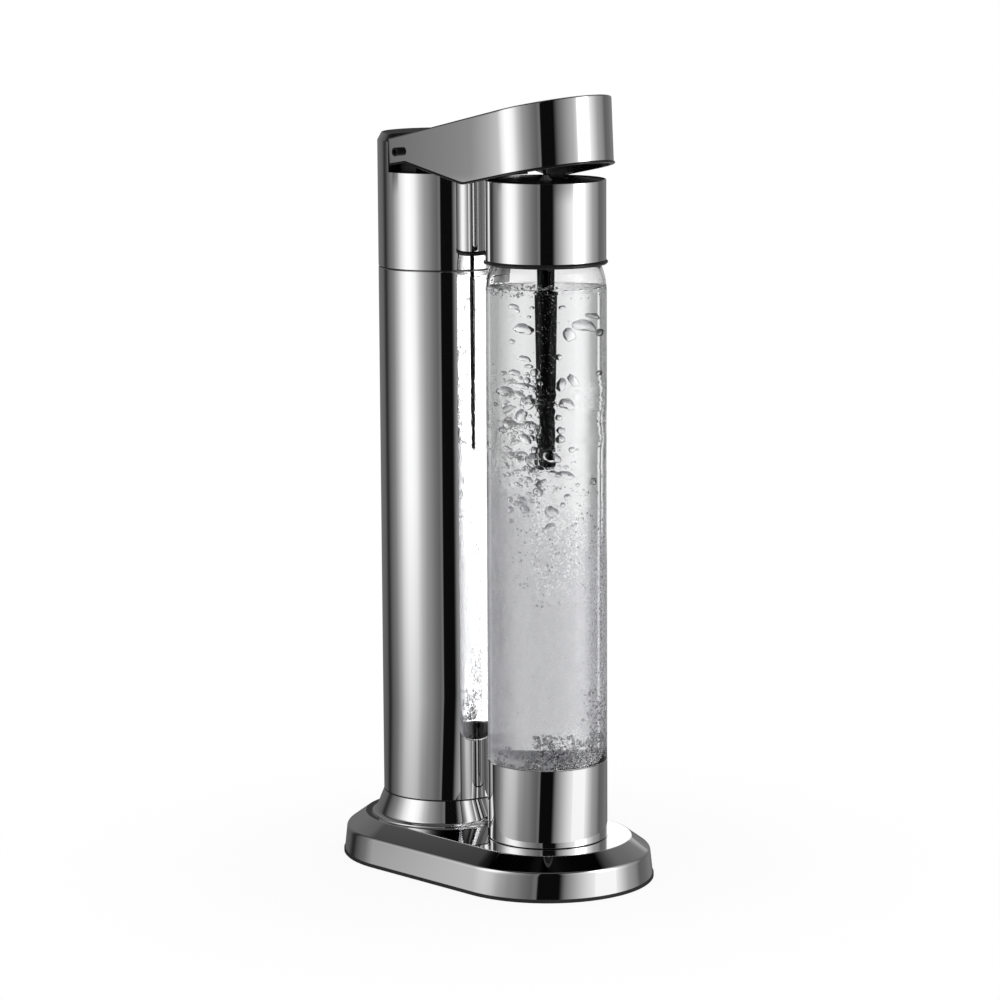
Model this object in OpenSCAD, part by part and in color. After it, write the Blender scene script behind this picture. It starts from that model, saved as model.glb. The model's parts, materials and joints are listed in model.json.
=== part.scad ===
// Slim sparkling water maker: a gas column and a bottle stand side by side on
// an oval base, and a hooded lever on the column presses on the bottle's head.
// Millimetres, +Z up, front towards -Y, origin under the middle of the base.

/* [Base] */
// Distance between the column axis and the bottle axis
axis_pitch = 82.4; // [80:0.2:92]
// Radius of the round ends of the base at the foot
base_r = 59.5; // [57:0.5:64]
// Height of the rubber foot
foot_t = 2; // [1.8:0.1:3]
// Width of the rubber foot
foot_w = 8; // [5:0.5:9]
// How far the foot stands out under the base cover
foot_lip = 0.5; // [0.2:0.1:1]
// Height of the upright side wall of the base
wall_h = 13.9; // [10:0.1:16]
// How far the side wall leans in
wall_draft = 1.5; // [0.5:0.1:3]
// Rounding between side wall and bevel
wall_round = 2.5; // [1:0.1:4]
// Radius of the flat top of the base round each axis
plateau_r = 47; // [44:0.5:49]
// Height of the flat top of the base
plateau_z = 23.6; // [22:0.1:26]
// Sheet thickness of the base cover
base_sheet = 1.2; // [1:0.1:1.6]
// Thickness of the ballast plate
ballast_t = 4; // [3.5:0.1:6]
// How far the pad under the bottle stays inside the bottle's foot
pad_inset = 4; // [3:0.1:6]

/* [Column] */
// Outer radius of the column
column_r = 36; // [35.5:0.1:39]
// Sheet thickness of the column
column_sheet = 0.8; // [0.6:0.1:1.2]
// Height of the flared collar at the foot of the column
collar_h = 13.2; // [10:0.1:20]
// How far the collar's cone spreads
collar_flare = 5.2; // [4:0.1:6.5]
// Fillet between the collar's cone and its foot
collar_fillet = 3; // [2:0.1:4]
// Dark line between collar and column
collar_line = 0.6; // [0.4:0.1:1.2]
// Dark line between column and top housing
seam_t = 0.8; // [0.5:0.1:1.5]
// How far the seam lies below the bottle's head
seam_drop = 6.7; // [2:0.1:10]
// Height of the hinge tower above the top housing
tower_h = 21.3; // [20.5:0.1:28]
// Front face of the tower behind the column axis
tower_front = 5.5; // [5.3:0.1:7]
// Width of the bevel round the tower's top
bevel_w = 2.4; // [1.5:0.1:4]
// Height of the bevel round the tower's top
bevel_h = 4.4; // [2:0.1:6]
// Wall of the inner frame
frame_wall = 3; // [2.6:0.1:3.2]

/* [Gas] */
// Radius of the gas cylinder
cylinder_r = 30; // [28:0.1:30.5]
// Radius of the cylinder's valve thread
thread_r = 10.5; // [9:0.1:11.5]
// Radius of the valve pin
valve_pin_r = 1.5; // [1.2:0.1:2]
// Rocker pivot behind the column axis
rocker_back = 22; // [20:0.5:23]
// Lever cam in front of the lever pivot
cam_fwd = 21; // [19:0.5:22]
// Radius of the gas hose
hose_r = 2.5; // [2:0.1:2.7]

/* [Lever] */
// Outer half width of the lever
lever_r = 36; // [35.8:0.1:39]
// Sheet thickness of the lever shell
lever_sheet = 0.9; // [0.7:0.1:1]
// Wall of the lever's black liner
liner_wall = 1; // [0.8:0.1:1]
// Height of the black rim trim
trim_t = 1.2; // [0.8:0.1:2]
// How far the rim trim stands out
trim_lip = 0.7; // [0.3:0.1:1.2]
// Lever pivot in front of the column axis
pivot_fwd = 3.9; // [3.5:0.1:4.2]
// Lever pivot above the top housing
pivot_up = 11.9; // [11.5:0.1:13]
// Radius of the hinge pin
pin_r = 2.45; // [2:0.05:2.7]
// How far the hinge pin stands out of each flank
pin_out = 3.2; // [2:0.1:7]
// Lean of the lever's walls at rest
lever_lift = 3; // [2:0.25:4]
// Height of the lever above its pivot
lever_rise = 8.8; // [8.2:0.05:10]
// Slope of the lever's top
lever_slope = 9.4; // [8:0.1:11]
// Slope of the rim below the nose
rim_slope = 8.2; // [7.5:0.1:9]
// Lowest point of the rim below the pivot
belly_drop = 18.3; // [17:0.1:19]
// Lowest point of the rim in front of the pivot
belly_fwd = 49.6; // [45:0.1:54]
// Rim at the arch over the column, below the pivot
arch_drop = 6.4; // [6:0.1:6.8]

/* [Bottle] */
// Outer radius of the bottle
bottle_r = 33.4; // [32:0.1:33.6]
// Wall of the bottle
bottle_wall = 1.3; // [1:0.1:2]
// Height of the bottle below its head
bottle_h = 321; // [290:0.2:340]
// Height of the steel cup round the bottle's foot
cup_h = 44; // [30:0.1:60]
// Sheet thickness of the steel cup
cup_sheet = 0.7; // [0.5:0.1:0.9]
// Height of the bottle's rounded shoulder
shoulder_h = 24; // [20:0.5:26]
// Outer radius of the bottle's neck
neck_r = 20; // [18:0.1:21]
// Inner radius of the bottle's neck
mouth_r = 17; // [15:0.1:17.4]

/* [Head] */
// Outer radius of the head
head_r = 33.2; // [32:0.1:33.4]
// Height of the head's steel sleeve
head_h = 44; // [42:0.1:50]
// Height of the black ring under the head
ring_t = 2.2; // [1.8:0.1:4]
// How far the black ring stands out
ring_lip = 0.9; // [0.5:0.1:1.6]
// Wall of the head's steel sleeve
sleeve_wall = 0.8; // [0.6:0.1:1.2]
// Radius of the inlet plunger
plunger_r = 4.4; // [4:0.1:5]
// How far the inlet plunger stands out of the head
plunger_up = 2.2; // [1.6:0.1:2.6]
// Nozzle tip below the head
nozzle_drop = 112.5; // [60:0.5:160]
// Nozzle radius at the head
nozzle_r = 5.2; // [4:0.05:6]
// Nozzle radius at the tip
nozzle_tip_r = 3.6; // [2.8:0.05:3.8]

/* [Clearances] */
// Gap between pieces that move past each other
run_gap = 0.3; // [0.2:0.05:0.4]
// Radial clearance of pins in their bores
pin_gap = 0.05; // [0.02:0.01:0.1]
// Gap between pieces that are fitted together
fit_gap = 0.1; // [0.05:0.01:0.2]

/* [Hidden] */
$fn = 96;

steel = "silver";
black = "#1a1a1c";
brass = "goldenrod";

// Heights of the bottle and its head, from the base up
bottle_z = plateau_z + run_gap;
ring_z = bottle_z + bottle_h;
sleeve_z = ring_z + ring_t;
head_top = sleeve_z + head_h;
cap_inset = 0.6;
cap_t = 3;
cap_top = head_top - cap_inset;
core_top = cap_top - cap_t;
shoulder_z = ring_z + 8 - shoulder_h;
neck_z = shoulder_z + shoulder_h;
neck_top = neck_z + 13;
gasket_t = 1.6;
core_ceiling = neck_top + gasket_t + 2 * fit_gap;
core_web = 3;
chamber_z = core_ceiling + core_web;

// Heights of the column, from its top down
housing_top = head_top + 1.2;
seam_z = ring_z - seam_drop;
collar_top = plateau_z + collar_h;
tube_z = collar_top + collar_line;
tower_top = housing_top + tower_h;
bracket_t = 6;
bracket_z = housing_top - bracket_t;
rocker_t = 6;
rocker_z = bracket_z - 5;
pin_reach = 5;
block_top = rocker_z - rocker_t / 2 - pin_reach;
block_h = 22;
block_z = block_top - block_h;
shelf_t = 4;
socket_h = 12;
washer_t = 1;
valve_neck_top = block_z + socket_h - washer_t - fit_gap;
cylinder_top = block_z - 16;
hatch_lip = 1.2;
hatch_flange = 4;
hatch_z = foot_t - hatch_lip;
hatch_top = foot_t + ballast_t - fit_gap;
cylinder_z = hatch_top + 0.5;

// Radii inside the column
housing_in = column_r - column_sheet;
frame_r = housing_in - 1;
bore_r = frame_r - frame_wall;
hatch_r = bore_r + 0.2;
flange_r = max(plateau_r, frame_r + 10);
flange_t = 3;
valve_flat_r = 13.5;
valve_hex_h = 13;
block_flange_t = 6;
small_head_h = 2;
head_sink = 0.5;
screw_bite = 7;

// Lever frame: pivot, nose and edges, with s counted forward of the pivot
pivot_y = axis_pitch / 2 - pivot_fwd;
pivot_z = housing_top + pivot_up;
bottle_s = axis_pitch - pivot_fwd;
nose_s = bottle_s + 1.5;
rear_s = -8.1;
front_s = nose_s + lever_r + trim_lip + 1;
liner_r = lever_r - lever_sheet - fit_gap;
hood_r = liner_r - liner_wall;
rear_drop = arch_drop + 1.3;
arch_s = 4.1;
arch_round = 5;
belly_round = 10;
plate_z = -4.6;
plate_t = 1.6;
plate_s = 13;
plate_top = plate_z + plate_t;
ear_in = 22;
ear_t = 7;
ear_r = 6.2;
boss_r = 5.5;
boss_gap = 0.6;
bush_wall = 1.1;
bush_flange = 0.3;

// A point given forward of and above the pivot at rest, in the lever's own frame
function to_lever(s, z) = [s * cos(lever_lift) + z * sin(lever_lift),
                           z * cos(lever_lift) - s * sin(lever_lift)];
function unit(v) = v / norm(v);
function oval(c, rx, ry, from, to, n = 10) =
    [for (i = [0:n]) let (a = from + (to - from) * i / n) c + [rx * cos(a), ry * sin(a)]];
// Corner b of the path a, b, c rounded to radius r
function rounded(a, b, c, r, n = 5) =
    let (u = unit(a - b), w = unit(c - b), half = acos(u * w) / 2, o = b + unit(u + w) * r / sin(half),
         p = b + u * r / tan(half) - o, q = b + w * r / tan(half) - o,
         start = atan2(p.y, p.x), turn = (atan2(q.y, q.x) - start + 540) % 360 - 180)
    [for (i = [0:n]) o + r * [cos(start + turn * i / n), sin(start + turn * i / n)]];

module at_column() { translate([0, axis_pitch / 2, 0]) children(); }
module at_bottle() { translate([0, -axis_pitch / 2, 0]) children(); }
module at_lever() { translate([0, pivot_y, pivot_z]) rotate([-lever_lift, 0, 0]) children(); }
module turned(points) { rotate_extrude() polygon(points); }
module tube(r_out, r_in, z0, z1) {
    translate([0, 0, z0]) difference() {
        cylinder(r = r_out, h = z1 - z0);
        translate([0, 0, -1]) cylinder(r = r_in, h = z1 - z0 + 2);
    }
}
module disc(r, z0, z1) { translate([0, 0, z0]) cylinder(r = r, h = z1 - z0); }
module cross_pin(r, x0, x1) { translate([x0, 0, 0]) rotate([0, 90, 0]) cylinder(r = r, h = x1 - x0); }

// Solid with the base's oval plan, from its half section of radius and height
module oval_solid(half) {
    for (end = [0, 180]) rotate([0, 0, end]) translate([0, axis_pitch / 2, 0])
        rotate_extrude(angle = 180) polygon(half);
    rotate([90, 0, 0]) linear_extrude(axis_pitch, center = true) union() {
        polygon(half);
        mirror([1, 0]) polygon(half);
    }
}

// Closed skin over rings of points, each ring with the same count
module skin(rings) {
    n = len(rings[0]);
    last = len(rings) - 1;
    points = [for (ring = rings) each ring];
    sides = [for (i = [0:last - 1], j = [0:n - 1])
             let (a = i * n + j, b = i * n + (j + 1) % n) each [[a, b, a + n], [b, b + n, a + n]]];
    caps = [for (j = [1:n - 2]) each [[0, j + 1, j], [last * n, last * n + j, last * n + j + 1]]];
    polyhedron(points, concat(sides, caps));
}

// Coil spring about Z: mean radius, wire radius, free length and turns
module coil(r, wire, length, turns) {
    steps = round(turns * 8);
    rings = [for (i = [0:steps])
             let (a = 360 * turns * i / steps, z = wire + (length - 2 * wire) * i / steps)
             [for (k = [0:5]) [(r + wire * cos(60 * k)) * cos(a), (r + wire * cos(60 * k)) * sin(a),
                               z + wire * sin(60 * k)]]];
    skin(rings);
}

// Base
wall_z = foot_t + wall_h;
wall_r = base_r - foot_lip;
module foot_ring() {
    color(black) oval_solid([[base_r - foot_w, 0], [base_r - 0.4, 0], [base_r, 0.4], [base_r, foot_t],
                             [base_r - foot_w, foot_t]]);
}
function cover_section(inset) =
    let (top = plateau_z - inset, crease = [plateau_r - inset * 0.3, top],
         edge = [wall_r - wall_draft - inset, wall_z - inset * 0.6], foot = [wall_r - inset, foot_t])
    concat([[0, foot_t], foot], rounded(foot, edge, crease, wall_round - inset * 0.5), [crease, [0, top]]);
cover_boss = [20, 5, 1.75];
pad_t = base_sheet / 2;
pad_r = bottle_r - pad_inset;
module base_cover() {
    color(steel) difference() {
        union() {
            difference() {
                oval_solid(cover_section(0));
                translate([0, 0, -0.01]) oval_solid(cover_section(base_sheet));
            }
            for (side = [-1, 1]) at_bottle() translate([side * cover_boss[0], 0, 0])
                disc(cover_boss[1], foot_t + ballast_t + fit_gap, plateau_z - base_sheet * 0.75);
        }
        at_bottle() disc(pad_r + fit_gap, plateau_z - pad_t, plateau_z + 1);
        at_column() disc(frame_r + run_gap, foot_t - 1, plateau_z + 1);
        for (side = [-1, 1]) at_bottle() translate([side * cover_boss[0], 0, 0])
            disc(cover_boss[2], foot_t, plateau_z - 2 * base_sheet - 1);
    }
}
screw_r = 1.7;
screw_head = [3.4, 1.4];
screw_circle = frame_r + 6;
module screw_places() {
    for (a = [45:90:315]) at_column() rotate([0, 0, a]) translate([screw_circle, 0, 0]) children();
    for (side = [-1, 1]) at_bottle() translate([side * cover_boss[0], 0, 0]) children();
}
module ballast_plate() {
    plate_r = wall_r - base_sheet - 2 * run_gap;
    color("dimgray") difference() {
        oval_solid([[0, foot_t], [plate_r - 0.3, foot_t], [plate_r - 0.3, foot_t + ballast_t],
                    [0, foot_t + ballast_t]]);
        at_column() disc(hatch_r + run_gap, 0, 20);
        screw_places() disc(screw_r + pin_gap, 0, 20);
    }
}
module base_screws() {
    color("gray") screw_places() {
        disc(screw_r, foot_t, foot_t + ballast_t + flange_t);
        difference() {
            disc(screw_head[0], foot_t - screw_head[1], foot_t);
            translate([0, 0, foot_t - screw_head[1] - 0.1]) cylinder(r = 1.6, h = 0.9, $fn = 6);
        }
    }
}
module bottle_pad() {
    color(black) at_bottle() disc(pad_r, plateau_z - pad_t, plateau_z);
}
module bottom_hatch() {
    grip = [hatch_r * 0.8, 9, 3];
    color("#2a2a2c") at_column() difference() {
        union() {
            disc(hatch_r, hatch_z, hatch_top);
            disc(hatch_r + hatch_flange, hatch_z, foot_t - run_gap);
        }
        for (side = [-1, 1]) translate([0, side * (grip[1] + 2.5), hatch_z + grip[2] / 2 - 0.5])
            cube([2 * grip[0], grip[1], grip[2] + 1], center = true);
    }
}

// Column
module column_collar() {
    knee = [column_r + collar_flare, plateau_z + 0.3];
    foot = [knee.x + 0.75 * collar_fillet, knee.y];
    top = [column_r, collar_top];
    color(steel) at_column()
        turned(concat([[frame_r + fit_gap, plateau_z], [foot.x, plateau_z], foot],
                      rounded(foot, knee, top, collar_fillet), [top, [frame_r + fit_gap, collar_top]]));
}
module column_tube() { color(steel) at_column() tube(column_r, housing_in, tube_z, seam_z); }
module seam_ring() {
    color(black) at_column() tube(column_r - 0.4, frame_r + fit_gap, seam_z, seam_z + seam_t);
}
// Half section of the tower's bevelled top, outside or inside its sheet
function tower_section(r, top) =
    [[0, top], [r - bevel_w, top], [r, top - bevel_h], [r, seam_z + seam_t], [0, seam_z + seam_t]];
module in_front_of_tower(y) { translate([-100, y - 200, housing_top]) cube([200, 200, 100]); }
module top_housing() {
    color(steel) at_column() difference() {
        turned(tower_section(column_r, tower_top));
        translate([0, 0, -0.01])
            turned(tower_section(housing_in, tower_top - column_sheet));
        in_front_of_tower(tower_front);
    }
}
module inner_frame() {
    color(black) at_column() difference() {
        union() {
            disc(frame_r, foot_t + ballast_t, bracket_z);
            disc(flange_r, foot_t + ballast_t, foot_t + ballast_t + flange_t);
            disc(column_r - 0.4, collar_top, tube_z);
        }
        disc(bore_r, 0, block_z - shelf_t);
        disc(valve_flat_r + 2.5, 0, block_z);
        disc(bore_r, block_z, bracket_z + 1);
        for (a = [45:90:315]) rotate([0, 0, a]) translate([screw_circle, 0, 0])
            disc(screw_r + pin_gap, 0, foot_t + ballast_t + flange_t + 1);
        block_screw_places() disc(small_screw_r + pin_gap, block_z - shelf_t - 1, block_z + 1);
        bracket_screw_places() disc(small_screw_r + pin_gap, bracket_z - screw_bite - 1, bracket_z + 1);
    }
}

// Gas cylinder and valve
module co2_cylinder() {
    neck = 13;
    neck_bore = 8;
    wall = 2.6;
    dome_h = 32;
    dome_z = cylinder_top - 8 - dome_h;
    foot_round = 9;
    color("lightslategray") at_column() turned(concat(
        [[0, cylinder_z + 4], [cylinder_r - foot_round - 4, cylinder_z]],
        rounded([0, cylinder_z], [cylinder_r, cylinder_z], [cylinder_r, dome_z], foot_round),
        oval([neck, dome_z], cylinder_r - neck, dome_h, 0, 90),
        [[neck, cylinder_top], [neck_bore, cylinder_top]],
        oval([neck_bore, dome_z], cylinder_r - neck_bore - wall, dome_h - wall, 90, 0),
        [[cylinder_r - wall, cylinder_z + foot_round + wall],
         [cylinder_r - foot_round, cylinder_z + 2 * wall],
         [0, cylinder_z + 4 + 2 * wall]]));
}
module cylinder_valve() {
    color(brass) at_column() difference() {
        union() {
            translate([0, 0, cylinder_top]) cylinder(r = valve_flat_r, h = valve_hex_h, $fn = 6);
            disc(thread_r, cylinder_top + valve_hex_h, valve_neck_top);
        }
        disc(valve_pin_r + 2 * fit_gap, valve_neck_top - 5, valve_neck_top + 1);
    }
}
module valve_gasket() {
    color("darkred") at_column()
        tube(thread_r - 1, valve_pin_r + 1.5, valve_neck_top + fit_gap, block_z + socket_h);
}
small_screw_r = 1.2;
block_r = bore_r - 1;
union_place = [12, 8.5];
module union_at() { translate([union_place[0], -pivot_fwd - union_place[1], 0]) children(); }
module block_screw_places() {
    for (a = [90, 210, 330]) rotate([0, 0, a]) translate([block_r - 4, 0, 0]) children();
}
module valve_block() {
    color(brass) at_column() difference() {
        union() {
            disc(block_r, block_z, block_z + block_flange_t);
            disc(thread_r + 9.5, block_z, block_top);
        }
        disc(thread_r + fit_gap, block_z - 1, block_z + socket_h);
        disc(valve_pin_r + pin_gap, block_z, block_top + 1);
        block_screw_places() disc(small_screw_r + pin_gap, block_z - 1, block_z + block_flange_t + 1);
        union_at() disc(1, block_z + socket_h + 2, block_top + 1);
    }
}
module block_screws() {
    color("gray") at_column() block_screw_places() {
        disc(small_screw_r, block_z - shelf_t, block_z + block_flange_t);
        disc(small_screw_r * 2, block_z + block_flange_t, block_z + block_flange_t + small_head_h);
    }
}
module valve_pin() {
    color("gray") at_column()
        disc(valve_pin_r, valve_neck_top + fit_gap, rocker_z - rocker_t / 2 - run_gap);
}
union_h = 5;
module outlet_union() {
    color(brass) at_column() union_at() difference() {
        translate([0, 0, block_top]) cylinder(r = 3.2, h = union_h, $fn = 6);
        disc(1, block_top - 1, block_top + union_h + 1);
    }
}
// Hose from the valve block up past the hinge and along the lever to the coupler
module gas_hose() {
    start = to_lever(union_place[1], block_top + union_h + fit_gap - pivot_z);
    coupler_end = tip_local().x - coupler_boss - fit_gap;
    x = union_place[0];
    path = [[x, start.x, start.y], [x, 7.4, -20], [x, 7.7, -12], [x, 8, -7], [x, 9, -3.4], [x, 11.3, -0.2],
            [x, 15, 1.6], [x * 0.97, 22, coupler_in], [x * 0.8, 33, coupler_in], [x * 0.45, 45, coupler_in],
            [x * 0.1, coupler_end - 9, coupler_in], [0, coupler_end - 4, coupler_in],
            [0, coupler_end, coupler_in]];
    last = len(path) - 1;
    rings = [for (i = [0:last])
             let (t = unit(path[min(i + 1, last)] - path[max(i - 1, 0)]), u = unit(cross(t, [1, 0, 0])),
                  w = cross(t, u))
             [for (k = [0:7])
              let (q = path[i] + hose_r * (cos(45 * k) * u - sin(45 * k) * w)) [q.x, -q.y, q.z]]];
    color("#303034") at_lever() skin(rings);
}

// Hinge, rocker and lever drive
module bracket_screw_places() {
    for (a = [0, 120, 240]) rotate([0, 0, a]) translate([(frame_r + bore_r) / 2, 0, 0]) children();
}
cheek = [7.5, 4.5, 10];
module hinge_bracket() {
    wall_t = 2.5;
    color(black) at_column() difference() {
        union() {
            disc(housing_in - fit_gap, bracket_z, housing_top);
            intersection() {
                translate([-column_r, tower_front + run_gap, housing_top - 1])
                    cube([2 * column_r, wall_t, tower_h]);
                turned(tower_section(housing_in - fit_gap, tower_top - column_sheet - fit_gap));
            }
            for (side = [-1, 1]) translate([side * (ear_in + ear_t / 2), -pivot_fwd, 0]) {
                translate([0, 0, pivot_z]) cross_pin(ear_r, -ear_t / 2, ear_t / 2);
                translate([-ear_t / 2, -ear_r, housing_top - 1]) cube([ear_t, 2 * ear_r, pivot_up + 1]);
            }
            for (side = [-1, 1])
                translate([side * (cheek[0] + cheek[1] / 2), rocker_back, bracket_z - cheek[2] / 2 + 0.5])
                    cube([cheek[1], cheek[2], cheek[2] + 1], center = true);
        }
        translate([0, -pivot_fwd, pivot_z]) cross_pin(pin_r + bush_wall + fit_gap, -50, 50);
        translate([0, rocker_back, rocker_z]) cross_pin(rocker_pin_r + pin_gap, -50, 50);
        translate([-cam_half - 2, -pivot_fwd - cam_fwd - 8, bracket_z - 1])
            cube([2 * cam_half + 4, 14, bracket_t + 2]);
        union_at() disc(hose_r + 1, bracket_z - 1, housing_top + 1);
        bracket_screw_places() disc(small_screw_r + pin_gap, bracket_z - 1, housing_top + 1);
        bracket_screw_places()
            disc(small_screw_r * 2 + fit_gap, housing_top - small_head_h - head_sink, housing_top + 1);
    }
}
module bracket_screws() {
    color("gray") at_column() bracket_screw_places() {
        disc(small_screw_r, bracket_z - screw_bite, housing_top - small_head_h - head_sink);
        disc(small_screw_r * 2, housing_top - small_head_h - head_sink, housing_top - head_sink);
    }
}
module hinge_bushes() {
    color("peru") at_column() for (side = [0, 180]) translate([0, -pivot_fwd, pivot_z]) rotate([0, 0, side])
        difference() {
            union() {
                cross_pin(pin_r + bush_wall, ear_in, ear_in + ear_t);
                cross_pin(pin_r + bush_wall + 1.4, ear_in + ear_t, ear_in + ear_t + bush_flange);
            }
            cross_pin(pin_r + pin_gap, ear_in - 1, ear_in + ear_t + 2);
        }
}
rocker_half = 5;
rocker_pin_r = 2;
module rocker() {
    front = pivot_fwd + cam_fwd + 4;
    color("darkgray") at_column() difference() {
        union() {
            translate([-rocker_half, -front, rocker_z - rocker_t / 2])
                cube([2 * rocker_half, front + rocker_back, rocker_t]);
            translate([0, rocker_back, rocker_z]) cross_pin(rocker_t / 2 + 1, -rocker_half, rocker_half);
        }
        translate([0, rocker_back, rocker_z]) cross_pin(rocker_pin_r + pin_gap, -20, 20);
        for (y = [-front + 9, 7]) translate([-rocker_half + 1.5, y, rocker_z + 0.5])
            cube([2 * rocker_half - 3, y < 0 ? front - 12 : rocker_back - 13, rocker_t]);
    }
}
module rocker_pin() {
    color("gray") at_column() translate([0, rocker_back, rocker_z])
        cross_pin(rocker_pin_r, -cheek[0] - cheek[1], cheek[0] + cheek[1]);
}
module return_spring() {
    wire = 0.6;
    color("gray") at_column() translate([-18, -pivot_fwd, pivot_z]) rotate([0, 90, 0])
        coil(pin_r + wire + run_gap, wire, 12, 7);
}

// Lever
function top_at(s) = lever_rise + s * tan(lever_slope);
function rim_at(s) = -belly_drop + (s - belly_fwd) * tan(rim_slope);
function rim(up) =
    let (rear = [rear_s, -rear_drop], arch = [arch_s, -arch_drop], belly = [belly_fwd, -belly_drop],
         front = [front_s, rim_at(front_s)])
    [for (p = concat([rear], rounded(rear, arch, belly, arch_round),
                     rounded(arch, belly, front, belly_round), [front])) p + [0, up]];
module side_prism(points) { rotate([90, 0, -90]) linear_extrude(200, center = true) polygon(points); }
module lever_plan(r, rear) {
    translate([0, 0, -60]) linear_extrude(140) union() {
        translate([-r, -nose_s]) square([2 * r, nose_s + rear]);
        translate([0, -nose_s]) circle(r);
    }
}
module lever_shell() {
    color(steel) at_lever() difference() {
        intersection() {
            lever_plan(lever_r, -rear_s);
            side_prism(concat(rim(trim_t), [[front_s, top_at(front_s)], [rear_s, top_at(rear_s)]]));
        }
        intersection() {
            lever_plan(lever_r - lever_sheet, 40);
            side_prism([[-60, -50], [front_s, -50], [front_s, top_at(front_s) - lever_sheet],
                        [-60, top_at(-60) - lever_sheet]]);
        }
        cross_pin(pin_r + fit_gap / 5, -60, 60);
    }
}
module lever_trim() {
    lower = rim(0);
    upper = rim(trim_t);
    color(black) at_lever() difference() {
        intersection() {
            lever_plan(lever_r + trim_lip, -rear_s);
            side_prism(concat(lower, [for (i = [len(upper) - 1:-1:0]) upper[i]]));
        }
        lever_plan(hood_r, 40);
    }
}
module lever_liner() {
    color(black) at_lever() difference() {
        union() {
            difference() {
                intersection() {
                    lever_plan(liner_r, -rear_s);
                    side_prism(concat(rim(trim_t), [[front_s, plate_top], [plate_s, plate_top],
                                                    [plate_s, boss_r], [rear_s, boss_r]]));
                }
                lever_plan(hood_r, 40);
            }
            for (side = [0, 180]) rotate([0, 0, side])
                cross_pin(boss_r, ear_in + ear_t + boss_gap, liner_r - liner_wall / 2);
        }
        cross_pin(pin_r + fit_gap / 5, -60, 60);
    }
}
// Plate across the lever that carries the cam and the coupler
module lever_plate() {
    color(black) at_lever() difference() {
        intersection() {
            lever_plan(hood_r - fit_gap, -plate_s);
            translate([-lever_r, -front_s, plate_z]) cube([2 * lever_r, front_s, plate_t]);
        }
        translate([0, -tip_local().x, 0]) disc(coupler_r + fit_gap, plate_z - 1, plate_top + 1);
        cam_screw_places() disc(small_screw_r + pin_gap, plate_z - 1, plate_top + 1);
    }
}
// Stiffening rib under the plate, between the column and the head
rib = [22, 39.6, 2.2];
module lever_rib() {
    low = -arch_drop + (rib[1] - arch_s) * (arch_drop - belly_drop) / (belly_fwd - arch_s);
    color(black) at_lever() translate([-rib[0], -rib[1] - rib[2], low])
        cube([2 * rib[0], rib[2], plate_z - low]);
}
cam_half = 4;
cam_nose = 3;
// Nose of the cam above the front of the rocker, in the lever's frame
function cam_local() = to_lever(cam_fwd, rocker_z + rocker_t / 2 + run_gap + cam_nose - pivot_z);
module cam_screw_places() {
    for (step = [-3, 3]) translate([0, -cam_local().x - 1 + step, 0]) children();
}
module lever_cam() {
    c = cam_local();
    color("darkgray") at_lever() difference() {
        union() {
            translate([-cam_half, -c.x - cam_nose, c.y]) cube([2 * cam_half, 2 * cam_nose, plate_z - c.y]);
            translate([-cam_half, -c.x - 6.5, plate_z - 4]) cube([2 * cam_half, 11, 4]);
            translate([0, -c.x, c.y]) cross_pin(cam_nose, -cam_half, cam_half);
        }
        cam_screw_places() disc(small_screw_r + pin_gap, plate_z - screw_bite - 1, plate_z + 1);
    }
}
module cam_screws() {
    color("gray") at_lever() cam_screw_places() {
        disc(small_screw_r, plate_z - screw_bite, plate_top);
        disc(small_screw_r * 2, plate_top, plate_top + 1.5);
    }
}
module hinge_pin() {
    reach = lever_r + pin_out;
    color(black) at_lever() difference() {
        cross_pin(pin_r, -reach, reach);
        for (side = [0, 180]) rotate([0, 0, side]) translate([reach - 2, 0, 0]) rotate([0, 90, 0])
            cylinder(r = 1.5, h = 3, $fn = 6);
    }
}
coupler_r = 4.5;
coupler_boss = 12;
coupler_in = 2.5;
stem_r = 1.5;
stem_l = 7;
// Tip of the coupler just above the inlet plunger, in the lever's frame
function tip_local() = to_lever(bottle_s, head_top + plunger_up + run_gap - pivot_z);
module gas_coupler() {
    tip = tip_local();
    color(black) at_lever() translate([0, -tip.x, 0]) union() {
        turned([[0, tip.y], [stem_r - 0.5, tip.y], [stem_r, tip.y + 0.5], [stem_r, tip.y + stem_l],
                [coupler_r, plate_z - 0.6], [coupler_r, plate_top], [coupler_r + 3.5, plate_top],
                [coupler_r + 3.5, plate_top + 2], [coupler_r + 1.5, plate_top + 2],
                [coupler_r + 1.5, coupler_in + 4.5], [0, coupler_in + 4.5]]);
        translate([0, 0, coupler_in]) rotate([-90, 0, 0]) cylinder(r = hose_r + 0.5, h = coupler_boss);
    }
}

// Bottle
function shoulder(grow, from, to) =
    oval([neck_r + grow, shoulder_z], bottle_r - neck_r, shoulder_h + grow, from, to);
bottle_inset = cup_sheet + fit_gap;
module bottle_body() {
    foot = bottle_z + 2.2;
    cup_line = bottle_z + cup_h + fit_gap;
    low_r = bottle_r - bottle_inset;
    in_r = bottle_r - bottle_wall;
    outside = concat([[0, foot + 6], [low_r - 16, foot]],
                     rounded([0, foot], [low_r, foot], [low_r, cup_line], 6),
                     [[low_r, cup_line], [bottle_r, cup_line]], shoulder(0, 0, 90), [[neck_r, neck_top]]);
    inside = concat([[mouth_r, neck_top]],
                    oval([mouth_r, shoulder_z], in_r - mouth_r, shoulder_h - bottle_wall, 90, 0),
                    [[in_r, cup_line + 3], [low_r - bottle_wall, cup_line - 1]],
                    rounded([low_r - bottle_wall, cup_line], [low_r - bottle_wall, foot + bottle_wall + 1],
                            [0, foot + bottle_wall + 1], 5),
                    [[low_r - 16, foot + bottle_wall + 1], [0, foot + 7 + bottle_wall]]);
    color("lightcyan", 0.4) at_bottle() turned(concat(outside, inside));
}
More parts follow.
